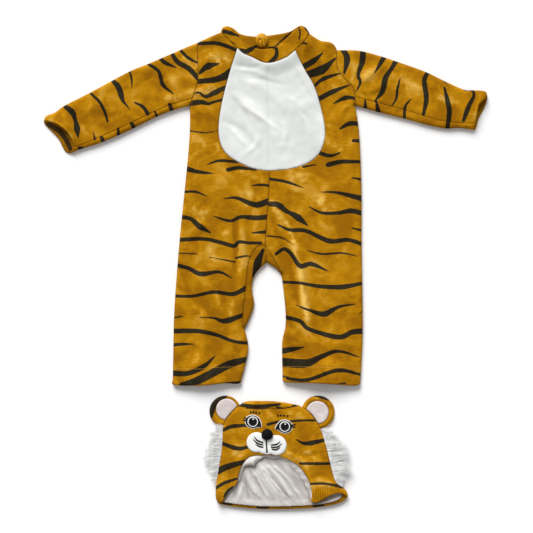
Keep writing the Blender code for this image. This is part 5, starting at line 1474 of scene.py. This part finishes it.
def buildEars():
    for node, ear in ears.items():
        arc, base = outsideHat(circleOf(ear["centre"], ear["radius"]), earLook["seat"])
        outline = np.vstack([evenly(arc, 1.6), evenly(base, 1.6)])
        disc = circleOf(ear["inner"], ear["innerRadius"], 160)
        discClosed = np.vstack([disc, disc[:1]])
        arcLine = evenly(arc, 1.6)

        def earTop(points):
            # A stuffed ring: it rises from the ear's edge and dips again to the seam around the inner ear.
            share = np.clip(nearestTo(points, arcLine, 9)[0] / 7.0, 0, 1)
            ring = earLook["thick"] * (0.12 + 0.88 * np.sqrt(np.maximum(1 - (1 - share) ** 2, 0)))
            within = insideOf(points, disc)
            dip = np.exp(-((nearestTo(points, discClosed, 8)[0] / 2.6) ** 2))
            ring -= np.where(within, 2.2, 2.2 * dip) + 0.25 * softNoise(points, 5, 21)
            return np.maximum(ring, 0.9)

        mesh = layerMesh(outline, 1.7, level(0.0), earTop, rings=(0.5, 1.2, 2.2, 3.6, 5.2))
        flat = mesh[0][:, :2]
        # The seam around the inner ear is painted darker, as shade in its dip.
        values = {"stripe": stripeField(flat, [stripeChart[ear["chart"]]]), "nap": napAndShadingOf(flat, []),
                  "seam": np.exp(-((nearestTo(flat, discClosed, 8)[0] / 1.4) ** 2))}
        piece = makeObject(node + "_plush", *mesh, [tigerPlush], values)
        finishPiece(piece, [node])

        arc, base = outsideHat(circleOf(ear["inner"], ear["innerRadius"] - 0.3), 0.9)
        patch = np.vstack([evenly(arc, 1.4), evenly(base, 1.4)])

        def innerFloor(points):
            return earTop(points) + 0.15

        mesh = layerMesh(patch, 1.3, innerFloor, domed(patch, innerFloor, 1.7, 3.4), rings=(0.5, 1.2, 2.2))
        flat = mesh[0][:, :2]
        piece = makeObject(node + "_inner_plush", *mesh, [earPlush],
                           {"nap": -0.5 + 0.4 * softNoise(flat, 6, 22), "seam": np.zeros(len(flat))})
        finishPiece(piece, [node + "_inner"])


# The face is laid out about the nose and leans to the right. Sizes are across and up from the nose.
face = {
    "centre": (2.0, -292.0),
    "lean": math.radians(-8.5),
    "lobes": dict(shift=1.6, out=17.5, down=16.5, across=17.6, deep=17.6, chin=(23.0, 18.4), thick=2.6),
    "nose": dict(across=10.0, deep=9.5, high=6.4),
    "eye": dict(half=(13.0, 11.0), corner=(2.8, 5.6), border=1.1, ring=9.2, ringWidth=1.7, shine=1.5),
    "eyes": [dict(node="left_eye", at=(-28.0, 18.1), inward=1),
             dict(node="right_eye", at=(28.4, 18.0), inward=-1)],
    "brows": {"left_eye": [(-33.9, 34.1), (-29.2, 34.8), (-24.7, 34.6), (-18.9, 34.6)],
              "right_eye": [(13.8, 35.2), (18.8, 36.3), (24.3, 36.8), (30.7, 37.1)]},
    "lashes": {"left_eye": [((-45.8, 19.0), (-40.0, 18.6)), ((-44.4, 23.6), (-39.4, 21.6))],
               "right_eye": [((46.8, 25.0), (40.8, 22.0)), ((47.2, 20.6), (41.4, 18.8))]},
    "whiskers": [[(-21.9, -7.0), (-15.2, -13.0), (-4.6, -15.4)],
                 [(-22.8, -12.0), (-14.4, -18.0), (-4.0, -19.2)],
                 [(-17.4, -20.2), (-10.6, -22.8), (-3.4, -23.2)], [(24.4, -8.4), (19.2, -14.4), (9.4, -17.6)],
                 [(28.0, -11.6), (21.0, -18.8), (9.8, -21.4)], [(26.0, -18.8), (19.6, -24.0), (11.8, -24.4)]],
    "mouth": [(0.0, -8.0), (2.0, -20.0), (4.6, -31.4)],
}


def onFace(out, up):
    c, s = math.cos(face["lean"]), math.sin(face["lean"])
    return face["centre"][0] + out * c - up * s, face["centre"][1] + out * s + up * c


def facePoints(points):
    return np.array([onFace(out, up) for out, up in points])


def onHat(lift):
    return lambda points: hatTopHeight(points) + lift


def muzzleOutline():
    lobe = face["lobes"]
    shapes = [(-lobe["out"], lobe["across"], lobe["deep"]), (lobe["out"], lobe["across"], lobe["deep"]),
              (0.0, *lobe["chin"])]
    outline = []
    for angle in np.linspace(0, 2 * math.pi, 180, endpoint=False):
        x, y = math.cos(angle), math.sin(angle)
        reach = 0.0
        for shift, across, deep in shapes:
            a = (x / across) ** 2 + (y / deep) ** 2
            b = -2 * x * shift / across**2
            c = (shift / across) ** 2 - 1
            reach = max(reach, (-b + math.sqrt(max(b * b - 4 * a * c, 0))) / (2 * a))
        outline.append(onFace(lobe["shift"] + x * reach, y * reach - lobe["down"]))
    return np.array(outline)


muzzleEdge = muzzleOutline()
mouthLine = smoothLine(facePoints(face["mouth"]), 1.0)


def muzzleTop(points):
    groove = 1.1 * np.exp(-((nearestTo(points, mouthLine, 8)[0] / 2.4) ** 2))
    return domed(muzzleEdge, onHat(0.15), face["lobes"]["thick"], 6.5, 0.12)(points) - groove


def satinStroke(path, widths, ground, high=0.8, step=0.7):
    # An embroidered stroke: a low rounded bar along a path, laid on the ground's height.
    line = smoothLine(path, step)
    way = np.gradient(line, axis=0)
    side = np.stack([-way[:, 1], way[:, 0]], axis=1) / np.linalg.norm(way, axis=1)[:, None]
    half = np.interp(np.linspace(0, 1, len(line)), np.linspace(0, 1, len(widths)), widths) / 2
    section = [(-1.0, 0.0), (-0.8, 0.6), (-0.35, 0.95), (0.0, 1.0), (0.35, 0.95), (0.8, 0.6), (1.0, 0.0)]
    points = []
    for across, up in section:
        place = line + side * (half * across)[:, None]
        points.append(np.column_stack([place, ground(line) + 0.05 + up * high * np.minimum(half, 1.0)]))
    grid = np.stack(points, axis=1)
    count, width = grid.shape[:2]
    faces = [(r * width + c, r * width + c + 1, (r + 1) * width + c + 1, (r + 1) * width + c)
             for r in range(count - 1) for c in range(width - 1)]
    faces += [(r * width, (r + 1) * width, (r + 1) * width + width - 1, r * width + width - 1)
              for r in range(count - 1)]
    faces += [tuple(range(width))[::-1], tuple(range((count - 1) * width, count * width))]
    flip = np.cross(grid[0, 1] - grid[0, 0], grid[1, 0] - grid[0, 0])[2] < 0
    return grid.reshape(-1, 3), [f[::-1] for f in faces] if flip else faces


def almond(eye, grow):
    shape = face["eye"]
    points = []
    for angle in np.linspace(0, 2 * math.pi, 96, endpoint=False):
        x, y = (shape["half"][0] + grow) * math.cos(angle), (shape["half"][1] + grow) * math.sin(angle)
        corner = max(0.0, math.cos(angle)) ** 8
        pull = max(0.0, -math.cos(angle)) ** 6
        out = eye["at"][0] + eye["inward"] * (x + shape["corner"][0] * corner)
        points.append(onFace(out, eye["at"][1] + y - shape["corner"][1] * corner + 1.2 * pull))
    points = np.array(points)
    return points if areaOf(points) > 0 else points[::-1]


def buildFace():
    mesh = layerMesh(evenly(np.vstack([muzzleEdge, muzzleEdge[:1]]), 1.2)[:-1], 1.3, onHat(0.1), muzzleTop,
                     rings=(0.5, 1.2, 2.2, 3.6))
    flat = mesh[0][:, :2]
    parts = [(*mesh, 0, {"nap": 0.7 + 0.15 * softNoise(flat, 6, 31)})]
    strokes = [(path, (1.2, 3.1, 2.6)) for path in face["whiskers"]] + [(face["mouth"], (2.7, 2.7, 2.7, 4.0))]
    for path, widths in strokes:
        parts.append((*satinStroke(facePoints(path), widths, muzzleTop), 1, {}))
    piece = joinMeshes("muzzle_plush", parts, [whitePlush, blackThread], ("nap", "seam"))
    finishPiece(piece, ["muzzle"])

    shape = face["eye"]
    for eye in face["eyes"]:
        iris = onFace(*eye["at"])
        shine = onFace(eye["at"][0] + 0.2, eye["at"][1] + 4.4)
        stack = [(almond(eye, shape["border"]), 0.10, 0.55, 1), (almond(eye, 0.0), 0.45, 0.85, 0),
                 (circleOf(iris, shape["ring"], 72), 0.70, 1.10, 1),
                 (circleOf(iris, shape["ring"] - shape["ringWidth"], 64), 0.95, 1.35, 0),
                 (circleOf(shine, shape["shine"], 24), 1.15, 1.62, 1)]
        parts = []
        for outline, low, high, material in stack:
            top = domed(outline, onHat(low), high - low, 1.2, 0.4)
            parts.append((*layerMesh(outline, 1.2, onHat(low - 0.1), top, rings=(0.4,)), material, {}))
        for out, up in face["brows"][eye["node"]]:
            tick = facePoints([(out - 0.6, up - 1.7), (out + 0.6, up + 1.7)])
            parts.append((*satinStroke(tick, (2.6, 2.9, 2.3), onHat(0.1), 1.0), 0, {}))
        for start, end in face["lashes"][eye["node"]]:
            parts.append((*satinStroke(facePoints([start, end]), (1.5, 3.0), onHat(0.3)), 0, {}))
        piece = joinMeshes(eye["node"] + "_stitching", parts, [blackThread, whiteThread])
        finishPiece(piece, [eye["node"]])

    nose = face["nose"]
    under = muzzleTop(circleOf(face["centre"], 6.0, 24)).max() + 0.1
    rng = np.random.default_rng(41)

    def noseShape(x, y, z):
        lump = 1 + 0.02 * rng.normal()
        return (face["centre"][0] + x * nose["across"] * lump * (1 - 0.06 * y),
                face["centre"][1] + y * nose["deep"] * lump, under + (max(z, -0.2) + 0.2) * nose["high"])

    piece = ballPiece("nose_plush", noseShape, blackPlush)
    finishPiece(piece, ["nose"])


def ballPiece(name, shape, material, values=None):
    # A small stuffed ball: shape moves each point of a unit ball, values gives its attributes there.
    mesh = bpy.data.meshes.new(name)
    form = bmesh.new()
    bmesh.ops.create_uvsphere(form, u_segments=72, v_segments=36, radius=1.0)
    places = [tuple(vertex.co) for vertex in form.verts]
    for vertex, place in zip(form.verts, places):
        vertex.co = shape(*place)
    form.transform(Matrix.Scale(mm, 4))
    form.to_mesh(mesh)
    form.free()
    mesh.materials.append(material)
    for key, valueAt in (values or {}).items():
        numbers = np.array([valueAt(*place) for place in places], np.float32)
        mesh.attributes.new(key, "FLOAT", "POINT").data.foreach_set("value", numbers)
    mesh.shade_smooth()
    piece = bpy.data.objects.new(name, mesh)
    bpy.context.scene.collection.objects.link(piece)
    return piece


# The gathered knob behind the neck, with a deep spot where it is drawn in.
backTab = {"centre": (-7.4, 395.5), "across": 11.0, "deep": 13.0, "high": 6.0, "gathers": 11, "depth": 0.05,
           "spot": (-0.28, 0.15), "spotSize": 0.2}


def knobGather(x, y):
    return (0.5 + 0.5 * math.cos(backTab["gathers"] * x + 2 * y)) * float(ease((0.5 - y) / 0.6))


def knobSpot(x, y, z):
    far = math.hypot(x - backTab["spot"][0], y - backTab["spot"][1])
    return math.exp(-((far / backTab["spotSize"]) ** 2)) if z > 0 else 0.0


def knobShape(x, y, z):
    gather = 1 - backTab["depth"] * math.hypot(x, y) * knobGather(x, y)
    high = max(z, -0.5) + 0.5 - 0.4 * knobSpot(x, y, z) - 0.12 * knobGather(x, y) * max(z, 0)
    return (backTab["centre"][0] + x * backTab["across"] * gather,
            backTab["centre"][1] + y * backTab["deep"] * gather, 4.0 + high * backTab["high"])


def buildBackTab():
    values = {
        # Painted shade: the drawn-in spot black through the stripe value, the gathers' grooves darker, and a
        # dark ring at the base where the knob sits on the cloth.
        "stripe": lambda x, y, z: 4.0 - 5.0 * knobSpot(x, y, z),
        "nap": lambda x, y, z: 0.9 - 0.9 * knobGather(x, y),
        "seam": lambda x, y, z: 1.2 if z < 0.15 else 0.0,
    }
    piece = ballPiece("back_tab_plush", knobShape, tigerPlush, values)
    finishPiece(piece, ["back_tab"])


# Fur strips sewn in at the hat's sides. Reach is (place along the side, how far the fur stands out).
manes = {
    "left_mane": dict(side="leftSide", count=2400, droop=-0.12, fan=0.45, seed=7,
                      reach=[(0.24, 12), (0.31, 25), (0.42, 29), (0.54, 33), (0.62, 25), (0.70, 18),
                             (0.78, 10), (0.84, 4)]),
    "right_mane": dict(side="rightSide", count=2800, droop=-0.10, fan=0.15, seed=11,
                       reach=[(0.30, 8), (0.36, 24), (0.43, 33), (0.5, 38), (0.59, 37), (0.66, 39),
                              (0.73, 34), (0.8, 20), (0.86, 9), (0.9, 4)]),
}
lockSpacing = (3.5, 8.0)
# Rows of the strip: out from the side, height, lift of the tips for each millimetre of reach.
maneRows = [(-0.6, 1.6, -0.04), (0.3, 3.4, 0.0), (0.9, 5.4, 0.06), (0.2, 7.4, 0.14), (-1.0, 8.8, 0.22)]


def makeStrandGroup():
    # Fur: bent, tapering strands on a strip's faces. "way" and "reach" on the strip steer them.
    group = bpy.data.node_groups.new("furStrands", "GeometryNodeTree")
    group.is_modifier = True
    sockets = group.interface
    sockets.new_socket("Geometry", in_out="INPUT", socket_type="NodeSocketGeometry")
    for name, kind in (("Density", "Float"), ("Thickness", "Float"), ("Bend", "Float"), ("Spread", "Float"),
                       ("Seed", "Int"), ("Material", "Material")):
        sockets.new_socket(name, in_out="INPUT", socket_type="NodeSocket" + kind)
    sockets.new_socket("Geometry", in_out="OUTPUT", socket_type="NodeSocketGeometry")
    given = group.nodes.new("NodeGroupInput").outputs
    result = group.nodes.new("NodeGroupOutput")
    roots = addNode(group, "GeometryNodeDistributePointsOnFaces",
                    {"Mesh": given["Geometry"], "Density": given["Density"], "Seed": given["Seed"]})
    bend = addNode(group, "ShaderNodeCombineXYZ", {"X": given["Bend"], "Y": 0.0, "Z": 0.55})
    curve = addNode(group, "GeometryNodeCurveQuadraticBezier",
                    {"Resolution": 5, "Start": (0, 0, 0), "Middle": bend.outputs[0], "End": (0, 0, 1)})
    along = addNode(group, "GeometryNodeSplineParameter").outputs["Factor"]
    taper = addNode(group, "ShaderNodeMath", {0: 1.04, 1: along}, operation="SUBTRACT").outputs[0]
    ring = addNode(group, "GeometryNodeCurvePrimitiveCircle",
                   {"Resolution": 3, "Radius": given["Thickness"]}, mode="RADIUS")
    strand = addNode(group, "GeometryNodeCurveToMesh",
                     {"Curve": curve.outputs[0], "Profile Curve": ring.outputs[0], "Scale": taper})
    way = addNode(group, "GeometryNodeInputNamedAttribute", {"Name": "way"},
                  data_type="FLOAT_VECTOR").outputs[0]
    reach = addNode(group, "GeometryNodeInputNamedAttribute", {"Name": "reach"}, data_type="FLOAT").outputs[0]
    stray = addNode(group, "FunctionNodeRandomValue",
                    {"Min": (-1, -1, -1), "Max": (1, 1, 1), "Seed": given["Seed"]},
                    data_type="FLOAT_VECTOR").outputs[0]
    strayed = addNode(group, "ShaderNodeVectorMath", {0: stray, "Scale": given["Spread"]}, operation="SCALE")
    aimed = addNode(group, "ShaderNodeVectorMath", {0: way, 1: strayed.outputs[0]},
                    operation="ADD").outputs[0]
    turned = addNode(group, "FunctionNodeAlignRotationToVector", {"Vector": aimed}, axis="Z").outputs[0]
    spin = addNode(group, "FunctionNodeRandomValue", {"Min": (0, 0, 0), "Max": (0, 0, 6.28), "Seed": 3},
                   data_type="FLOAT_VECTOR").outputs[0]
    spun = addNode(group, "FunctionNodeEulerToRotation", {0: spin}).outputs[0]
    turned = addNode(group, "FunctionNodeRotateRotation", {0: turned, 1: spun},
                     rotation_space="LOCAL").outputs[0]
    size = addNode(group, "FunctionNodeRandomValue", {2: 0.5, 3: 1.05, "Seed": 5}, data_type="FLOAT")
    size = [out for out in size.outputs if out.enabled][0]
    size = addNode(group, "ShaderNodeMath", {0: size, 1: reach}, operation="MULTIPLY").outputs[0]
    placed = addNode(group, "GeometryNodeInstanceOnPoints",
                     {"Points": roots.outputs[0], "Instance": strand.outputs[0], "Rotation": turned,
                      "Scale": size})
    solid = addNode(group, "GeometryNodeRealizeInstances", {0: placed.outputs[0]})
    dressed = addNode(group, "GeometryNodeSetMaterial",
                      {"Geometry": solid.outputs[0], "Material": given["Material"]})
    group.links.new(dressed.outputs[0], result.inputs[0])
    return group


def runNodes(carrier, group, settings, name, materials):
    # Sets a modifier's named inputs, and keeps what it makes as a plain mesh.
    modifier = carrier.modifiers.new("nodes", "NODES")
    modifier.node_group = group
    for item in group.interface.items_tree:
        if item.in_out == "INPUT" and item.name in settings:
            modifier[item.identifier] = settings[item.name]
    bpy.context.view_layer.update()
    evaluated = carrier.evaluated_get(bpy.context.evaluated_depsgraph_get())
    mesh = bpy.data.meshes.new_from_object(evaluated)
    mesh.name = name
    bpy.data.objects.remove(carrier)
    mesh.materials.clear()
    for material in materials:
        mesh.materials.append(material)
    mesh.shade_smooth()
    piece = bpy.data.objects.new(name, mesh)
    bpy.context.scene.collection.objects.link(piece)
    return piece


def locksAlong(side, outward, share, reach, lift, mane, rng):
    # The tip that each place of one row leans to: the strands of a lock share a tip.
    length = len(side)
    centres = np.cumsum(rng.uniform(*lockSpacing, int(length / lockSpacing[0]) + 1))
    centres = centres[centres < length].astype(int)
    tips = []
    for at in centres:
        lean = mane["droop"] + mane["fan"] * (0.5 - share[at]) + rng.uniform(-0.3, 0.3)
        aim = np.array([outward[at, 0], outward[at, 1] + lean])
        far = reach[at] * rng.uniform(0.7, 1.25)
        tips.append([*(side[at] + aim / np.linalg.norm(aim) * far), lift * far])
    nearest = np.abs(np.arange(length)[:, None] - centres[None, :]).argmin(axis=1)
    return np.array(tips)[nearest]


def buildManes():
    group = makeStrandGroup()
    for node, mane in manes.items():
        side = evenly(hatLines[mane["side"]], 1.0)
        if node.startswith("left"):
            side = side[::-1]
        way = np.gradient(side, axis=0)
        outward = np.stack([-way[:, 1], way[:, 0]], axis=1) / np.linalg.norm(way, axis=1)[:, None]
        outward[((side - np.array([20, -330])) * outward).sum(1) < 0] *= -1
        places, reaches = np.array(mane["reach"]).T
        share = np.linspace(0, 1, len(side))
        kept = (share >= places[0]) & (share <= places[-1])
        side, outward, share = side[kept], outward[kept], share[kept]
        reach = np.interp(share, places, reaches)
        rng = np.random.default_rng(mane["seed"])
        points, ways = [], []
        for out, high, lift in maneRows:
            root = np.column_stack([side + outward * out, np.full(len(side), high)])
            tip = locksAlong(side, outward, share, reach, lift, mane, rng)
            tip[:, 2] += high * 0.8
            points.append(root)
            ways.append(tip - root)
        ways = np.vstack(ways)
        length = np.linalg.norm(ways, axis=1)
        count = len(side)
        faces = [(r * count + c, r * count + c + 1, (r + 1) * count + c + 1, (r + 1) * count + c)
                 for r in range(len(maneRows) - 1) for c in range(count - 1)]
        carrier = makeObject(node + "_strip", np.vstack(points), faces, [], {"reach": length * mm})
        mesh = carrier.data
        aims = (ways / length[:, None]).ravel()
        mesh.attributes.new("way", "FLOAT_VECTOR", "POINT").data.foreach_set("vector", aims)
        area = sum(polygon.area for polygon in mesh.polygons)
        settings = {"Density": mane["count"] / area, "Thickness": 0.010, "Bend": 0.12, "Spread": 0.09,
                    "Seed": mane["seed"], "Material": whiteFur}
        piece = runNodes(carrier, group, settings, node + "_fur", [whiteFur])
        keepOffFloor(piece.data)
        finishPiece(piece, [node])
        print(node, len(piece.data.polygons), "faces")


def keepOffFloor(mesh):
    points = np.empty(len(mesh.vertices) * 3, np.float32)
    mesh.vertices.foreach_get("co", points)
    points = points.reshape(-1, 3)
    points[:, 2] = np.maximum(points[:, 2], 0.0002)
    mesh.vertices.foreach_set("co", points.ravel())
    mesh.update()


# Stitches that hold the turned hems of the legs.
stitchLook = {"spacing": 3.2, "long": 1.2, "thick": 0.32, "raised": 0.1}


def makeStitchGroup():
    # A row of stitches along a line of edges.
    group = bpy.data.node_groups.new("stitchRow", "GeometryNodeTree")
    group.is_modifier = True
    sockets = group.interface
    sockets.new_socket("Geometry", in_out="INPUT", socket_type="NodeSocketGeometry")
    for name, kind in (("Spacing", "Float"), ("Stitch Size", "Vector"), ("Material", "Material")):
        sockets.new_socket(name, in_out="INPUT", socket_type="NodeSocket" + kind)
    sockets.new_socket("Geometry", in_out="OUTPUT", socket_type="NodeSocketGeometry")
    given = group.nodes.new("NodeGroupInput").outputs
    result = group.nodes.new("NodeGroupOutput")
    line = addNode(group, "GeometryNodeMeshToCurve", {"Mesh": given["Geometry"]})
    spaced = addNode(group, "GeometryNodeResampleCurve",
                     {"Curve": line.outputs[0], "Length": given["Spacing"]},
                     mode="LENGTH")
    ball = addNode(group, "GeometryNodeMeshUVSphere", {"Segments": 8, "Rings": 6, "Radius": 1.0})
    way = addNode(group, "GeometryNodeInputTangent").outputs[0]
    turned = addNode(group, "FunctionNodeAlignRotationToVector", {"Vector": way}, axis="X").outputs[0]
    placed = addNode(group, "GeometryNodeInstanceOnPoints",
                     {"Points": spaced.outputs[0], "Instance": ball.outputs[0], "Rotation": turned,
                      "Scale": given["Stitch Size"]})
    solid = addNode(group, "GeometryNodeRealizeInstances", {0: placed.outputs[0]})
    dressed = addNode(group, "GeometryNodeSetMaterial",
                      {"Geometry": solid.outputs[0], "Material": given["Material"]})
    group.links.new(dressed.outputs[0], result.inputs[0])
    return group


def buildStitches():
    group = makeStitchGroup()
    look = stitchLook
    for side, line in hemStitches.items():
        height = suitTop(line) - cloth["softSeam"] * cloth["seamPinch"] + look["raised"]
        points = np.column_stack([line, height])
        carrier = makeObject(side + "_hem_line", points, [], [])
        carrier.data.edges.add(len(points) - 1)
        ends = [k for first in range(len(points) - 1) for k in (first, first + 1)]
        carrier.data.edges.foreach_set("vertices", ends)
        settings = {"Spacing": look["spacing"] * mm, "Material": goldThread,
                    "Stitch Size": (look["long"] * mm, look["thick"] * mm, look["thick"] * mm)}
        piece = runNodes(carrier, group, settings, side + "_hem_stitches", [goldThread])
        finishPiece(piece, [])


buildHatCloth()
buildLining()
buildLiningEdge()
buildEars()
buildFace()
buildManes()
buildBackTab()
buildStitches()
print("hat ready")


# Stage, light and camera.
stageLook = {"cameraHeight": 4.0, "frameWidth": 533 * pixelSize * mm, "sensor": 36.0, "keyPower": 4.05,
             "keySoftness": 0.6, "keyFrom": (-0.35, 1.25, 0.9), "skyLight": 0.38}


def buildStage():
    mesh = bpy.data.meshes.new("floor")
    mesh.from_pydata([(-6, -6, 0), (6, -6, 0), (6, 6, 0), (-6, 6, 0)], [], [(0, 1, 2, 3)])
    floor = bpy.data.objects.new("floor", mesh)
    floor.location.z = -0.0004
    bpy.context.scene.collection.objects.link(floor)
    material = bpy.data.materials.new("paleFloor")
    material.use_nodes = True
    shader = material.node_tree.nodes["Principled BSDF"]
    shader.inputs["Base Color"].default_value = (0.93, 0.93, 0.93, 1)
    shader.inputs["Roughness"].default_value = 0.9
    mesh.materials.append(material)
    key = bpy.data.objects.new("key", bpy.data.lights.new("key", "SUN"))
    key.data.energy = stageLook["keyPower"]
    key.data.angle = stageLook["keySoftness"]
    key.rotation_euler = (-Vector(stageLook["keyFrom"])).to_track_quat("-Z", "Y").to_euler()
    bpy.context.scene.collection.objects.link(key)
    world = bpy.data.worlds.new("studio")
    world.use_nodes = True
    world.node_tree.nodes["Background"].inputs["Color"].default_value = (1, 1, 1, 1)
    world.node_tree.nodes["Background"].inputs["Strength"].default_value = stageLook["skyLight"]
    bpy.context.scene.world = world
    camera = bpy.data.objects.new("camera", bpy.data.cameras.new("camera"))
    camera.data.sensor_width = stageLook["sensor"]
    camera.data.lens = stageLook["sensor"] * stageLook["cameraHeight"] / stageLook["frameWidth"]
    camera.location = (0.5 * pixelSize * mm, 0.5 * pixelSize * mm, stageLook["cameraHeight"])
    bpy.context.scene.collection.objects.link(camera)
    bpy.context.scene.camera = camera
    bpy.context.scene.view_settings.view_transform = "Standard"


buildStage()
print("stage ready")
